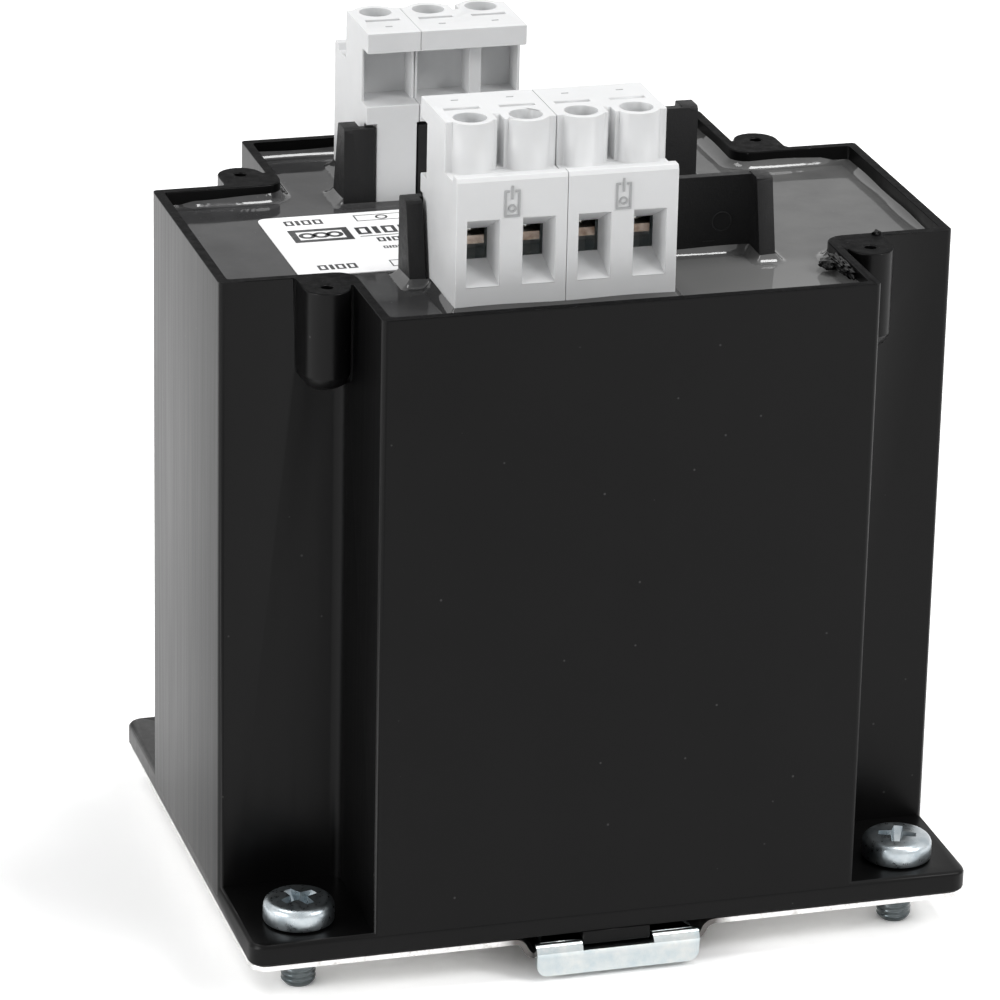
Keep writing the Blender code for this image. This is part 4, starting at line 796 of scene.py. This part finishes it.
def carrier_marks(material):
    """The ring that an ejector pin left on the front carrier's wall, and a short witness line under it."""
    bm = bmesh.new()
    wall = -CARRIER_WALL[1]
    ring_mark(bm, 20.1, 97.3, (wall - 0.08, wall + 0.05), 1.30, 1.48, axis="y")
    bar(bm, (17.4, 19.1), (wall - 0.08, wall + 0.05), (94.4, 94.55))
    return solid("carrier_marks", bm, material, crease=30)


# Flange screws

def screw_profile():
    """Radius and height of the pan head, from under the head to the top, in millimetres."""
    low, side, top, radius = 4.44, 6.45, 7.84, 5.05
    points = [(2.6, low), (radius - 0.25, low), (radius - 0.07, low + 0.08), (radius, low + 0.3),
              (radius, side)]
    for degrees in (15, 30, 45, 60, 75, 90):
        a = math.radians(degrees)
        points.append((radius - 1.15 * (1 - math.cos(a)), side + (top - 0.22 - side) * math.sin(a)))
    points += [(2.9, top - 0.09), (1.6, top - 0.02), (0.0, top)]
    return points


def screw_mesh():
    """One M5 pan-head screw with a rolled thread, its axis on x = y = 0, before its cross recess is cut."""
    bm = bmesh.new()
    steps = 48
    pitch, thread, radius, tip, runout = 0.8, 0.12, 2.5, -5.4, 4.2
    layers = 84
    heights = [tip + 0.02 + (runout - tip) * k / layers for k in range(layers + 1)]
    rings = []
    for k, z in enumerate(heights):
        ring = []
        for i in range(steps):
            a = 2 * math.pi * i / steps
            phase = ((z - tip) / pitch - i / steps) % 1.0
            groove = abs(phase - 0.5) * 2
            groove = min(max((groove - 0.12) / 0.76, 0.0), 1.0)
            taper = min(1.0, (z - tip) / 0.7)
            r = radius - thread * groove
            r = min(r, radius - 0.55 * (1 - taper))
            ring.append(bm.verts.new(Vector((r * math.cos(a), r * math.sin(a), z)) * MM))
        rings.append(ring)
    for radius, z in screw_profile()[:-1]:
        rings.append([bm.verts.new(Vector((radius * math.cos(2 * math.pi * i / steps),
                                           radius * math.sin(2 * math.pi * i / steps), z)) * MM)
                      for i in range(steps)])
    for low, high in zip(rings, rings[1:]):
        for i in range(steps):
            bm.faces.new((low[i - 1], low[i], high[i], high[i - 1]))
    bm.faces.new(list(reversed(rings[0])))
    crown = bm.verts.new(Vector((0, 0, screw_profile()[-1][1])) * MM)
    for i in range(steps):
        bm.faces.new((rings[-1][i - 1], rings[-1][i], crown))
    bmesh.ops.recalc_face_normals(bm, faces=bm.faces[:])
    return bm


def recess_cutter():
    """A tapered cross with a short diagonal flute between its arms."""
    bm = bmesh.new()

    def outline(scale, arm, thin):
        points = []
        for k in range(4):
            a = math.radians(90 * k)
            for u, v in ((arm * scale, -thin), (arm * scale, thin), (thin * 1.35, thin * 1.35)):
                points.append((u * math.cos(a) - v * math.sin(a), u * math.sin(a) + v * math.cos(a)))
        return points

    sections = [(outline(scale, 2.75, thin), z)
                for scale, thin, z in ((0.35, 0.34, 5.5), (0.95, 0.60, 7.5), (1.05, 0.66, 8.2))]
    rings = [[bm.verts.new(Vector((x, y, z)) * MM) for x, y in points] for points, z in sections]
    for low, high in zip(rings, rings[1:]):
        for i in range(len(low)):
            bm.faces.new((low[i - 1], low[i], high[i], high[i - 1]))
    bm.faces.new(list(reversed(rings[0])))
    bm.faces.new(rings[-1])
    bmesh.ops.recalc_face_normals(bm, faces=bm.faces[:])
    return bm


def cut(base, cutter):
    """Mesh of the first bmesh less the second."""
    items = []
    for name, bm in (("base", base), ("cutter", cutter)):
        mesh = bpy.data.meshes.new(name)
        bm.to_mesh(mesh)
        bm.free()
        item = bpy.data.objects.new(name, mesh)
        bpy.context.scene.collection.objects.link(item)
        items.append(item)
    step = items[0].modifiers.new("cut", "BOOLEAN")
    step.operation = "DIFFERENCE"
    step.solver = "EXACT"
    step.object = items[1]
    bpy.context.view_layer.update()
    graph = bpy.context.evaluated_depsgraph_get()
    result = bpy.data.meshes.new_from_object(items[0].evaluated_get(graph))
    for item in items:
        bpy.data.objects.remove(item, do_unlink=True)
    return result


def flange_screws(material, stub_painted_shade_material):
    """The four screws, each turned its own way, with the threads below the plate painted darker as painted
    shade under the plate.
    """
    mesh = cut(screw_mesh(), recess_cutter())
    for number, ((x, y), turn) in enumerate(zip(FLANGE_SCREWS, (24, 151, 67, 203)), 1):
        bm = bmesh.new()
        bm.from_mesh(mesh)
        bm.transform(Matrix.Translation(at(x, y, 0)) @ Matrix.Rotation(math.radians(turn), 4, "Z"))
        item = solid(f"flange_screw_{number}_detailed", bm, material, crease=40)
        item.data.materials.append(stub_painted_shade_material)
        # Faces below the plate take the darker thread material: painted shade.
        for face in item.data.polygons:
            if face.center.z < at(0, 0, 0).z:
                face.material_index = 1
        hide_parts(f"flange_screw_{number}")
    bpy.data.meshes.remove(mesh)


# Studio

def background_seen(tree):
    """1 for the rays that show the background: straight, reflected or through glass."""
    paths = add(tree, "ShaderNodeLightPath")
    direct = maths(tree, "MAXIMUM", paths.outputs["Is Camera Ray"], paths.outputs["Is Transmission Ray"])
    return maths(tree, "MAXIMUM", direct, paths.outputs["Is Glossy Ray"])


def floor_material():
    """Pale grey for the light that it sends to the object, and white where the background shows."""
    material, tree, shader = look("studio_floor", 0.9)
    away = add(tree, "ShaderNodeVectorMath", {0: coords(tree)}, operation="LENGTH").outputs["Value"]
    white = blended(tree, ranged(tree, away, 0.35, 1.6), (1.25, 1.25, 1.25), (2.1, 2.1, 2.1))
    colour = blended(tree, background_seen(tree), (0.78, 0.78, 0.78), white)
    tree.links.new(colour, shader.inputs["Base Color"])
    shader.inputs["Specular IOR Level"].default_value = 0.0
    return material


def floor():
    """The plane that the object stands on."""
    bm = bmesh.new()
    bmesh.ops.create_grid(bm, x_segments=2, y_segments=2, size=4.0)
    mesh = bpy.data.meshes.new("floor")
    bm.to_mesh(mesh)
    bm.free()
    mesh.materials.append(floor_material())
    item = bpy.data.objects.new("floor", mesh)
    bpy.context.scene.collection.objects.link(item)


def world():
    """Even grey surroundings, white where the background shows."""
    scene = bpy.context.scene
    scene.world = bpy.data.worlds.new("studio")
    scene.world.use_nodes = True
    tree = scene.world.node_tree
    background = tree.nodes["Background"]
    direction = add(tree, "ShaderNodeTexCoord").outputs["Generated"]
    height = add(tree, "ShaderNodeSeparateXYZ", {"Vector": direction}).outputs["Z"]
    shade = ranged(tree, height, -0.2, 0.9, 0.48, 0.52)
    tree.links.new(blended(tree, background_seen(tree), shade, (1.0, 1.0, 1.0)), background.inputs["Color"])
    background.inputs["Strength"].default_value = 1.0


def softbox(name, place, target, size, power):
    """A rectangular lamp at a place in metres, turned to the target."""
    data = bpy.data.lights.new(name, "AREA")
    data.shape = "RECTANGLE"
    data.size, data.size_y = size
    data.energy = power
    item = bpy.data.objects.new(name, data)
    item.location = place
    item.rotation_euler = (Vector(target) - Vector(place)).to_track_quat("-Z", "Y").to_euler()
    bpy.context.scene.collection.objects.link(item)


def lights():
    """The four lamps of the studio."""
    for name, place, height, size, power in LAMPS:
        softbox(name, place, (0, 0, height), size, power)


looks = {
    "black_thermoplastic": black_plastic(),
    "grained_black_thermoplastic": grained_plastic(),
    "grey_resin": resin("grey_resin", 0.07, 1.0),
    "light_grey_polyamide": polyamide("light_grey_polyamide", (0.60, 0.605, 0.61), (0.66, 0.665, 0.67)),
    "bright_zinc": bright_zinc("bright_zinc", (0.54, 0.60, 0.62), (0.68, 0.70, 0.69)),
    "dull_zinc_sheet": zinc_sheet(),
    "label_paper": paper(),
    "lamination_iron": lamination_iron(),
    "bobbin_nylon": nylon(),
    "enamelled_copper": enamelled_copper(),
    "insulation_tape": tape(),
    "tinned_copper": tinned(),
}

camera()
for subpart in frame["record"]["subparts"]:
    node = frame["nodes"][subpart["node"]]
    for slot in node.material_slots:
        slot.material = looks[subpart["material_slot"]]

moulded_pieces()
latch_spring(looks["bright_zinc"])
# The meniscus along the walls uses a darker copy of the resin: painted shade.
resin_skin(looks["grey_resin"], resin("resin_meniscus", 0.5, 0.8))
label_print(ink())
label_symbols(bpy.data.materials["label_ink"])
# The marks are moulded in the bodies' own grey; drawing them in this darker copy is painted shade.
mark_look = polyamide("shaded_polyamide", (0.30, 0.305, 0.31), (0.36, 0.365, 0.37))
body_marks("front_body_marks", FRONT_POLES, -1, mark_look)
body_marks("rear_body_marks", REAR_POLES, 1, mark_look)
moulding_flaws(looks["black_thermoplastic"])
carrier_marks(looks["grained_black_thermoplastic"])
# The threads below the plate get a dark copy of the zinc as painted shade.
flange_screws(bright_zinc("screw_zinc", (0.37, 0.42, 0.45), (0.53, 0.57, 0.59), (0.24, 0.40)),
              bright_zinc("thread_in_painted_shade", (0.07, 0.085, 0.09), (0.13, 0.145, 0.15)))
floor()
world()
lights()

bpy.context.scene.view_settings.view_transform = "Standard"
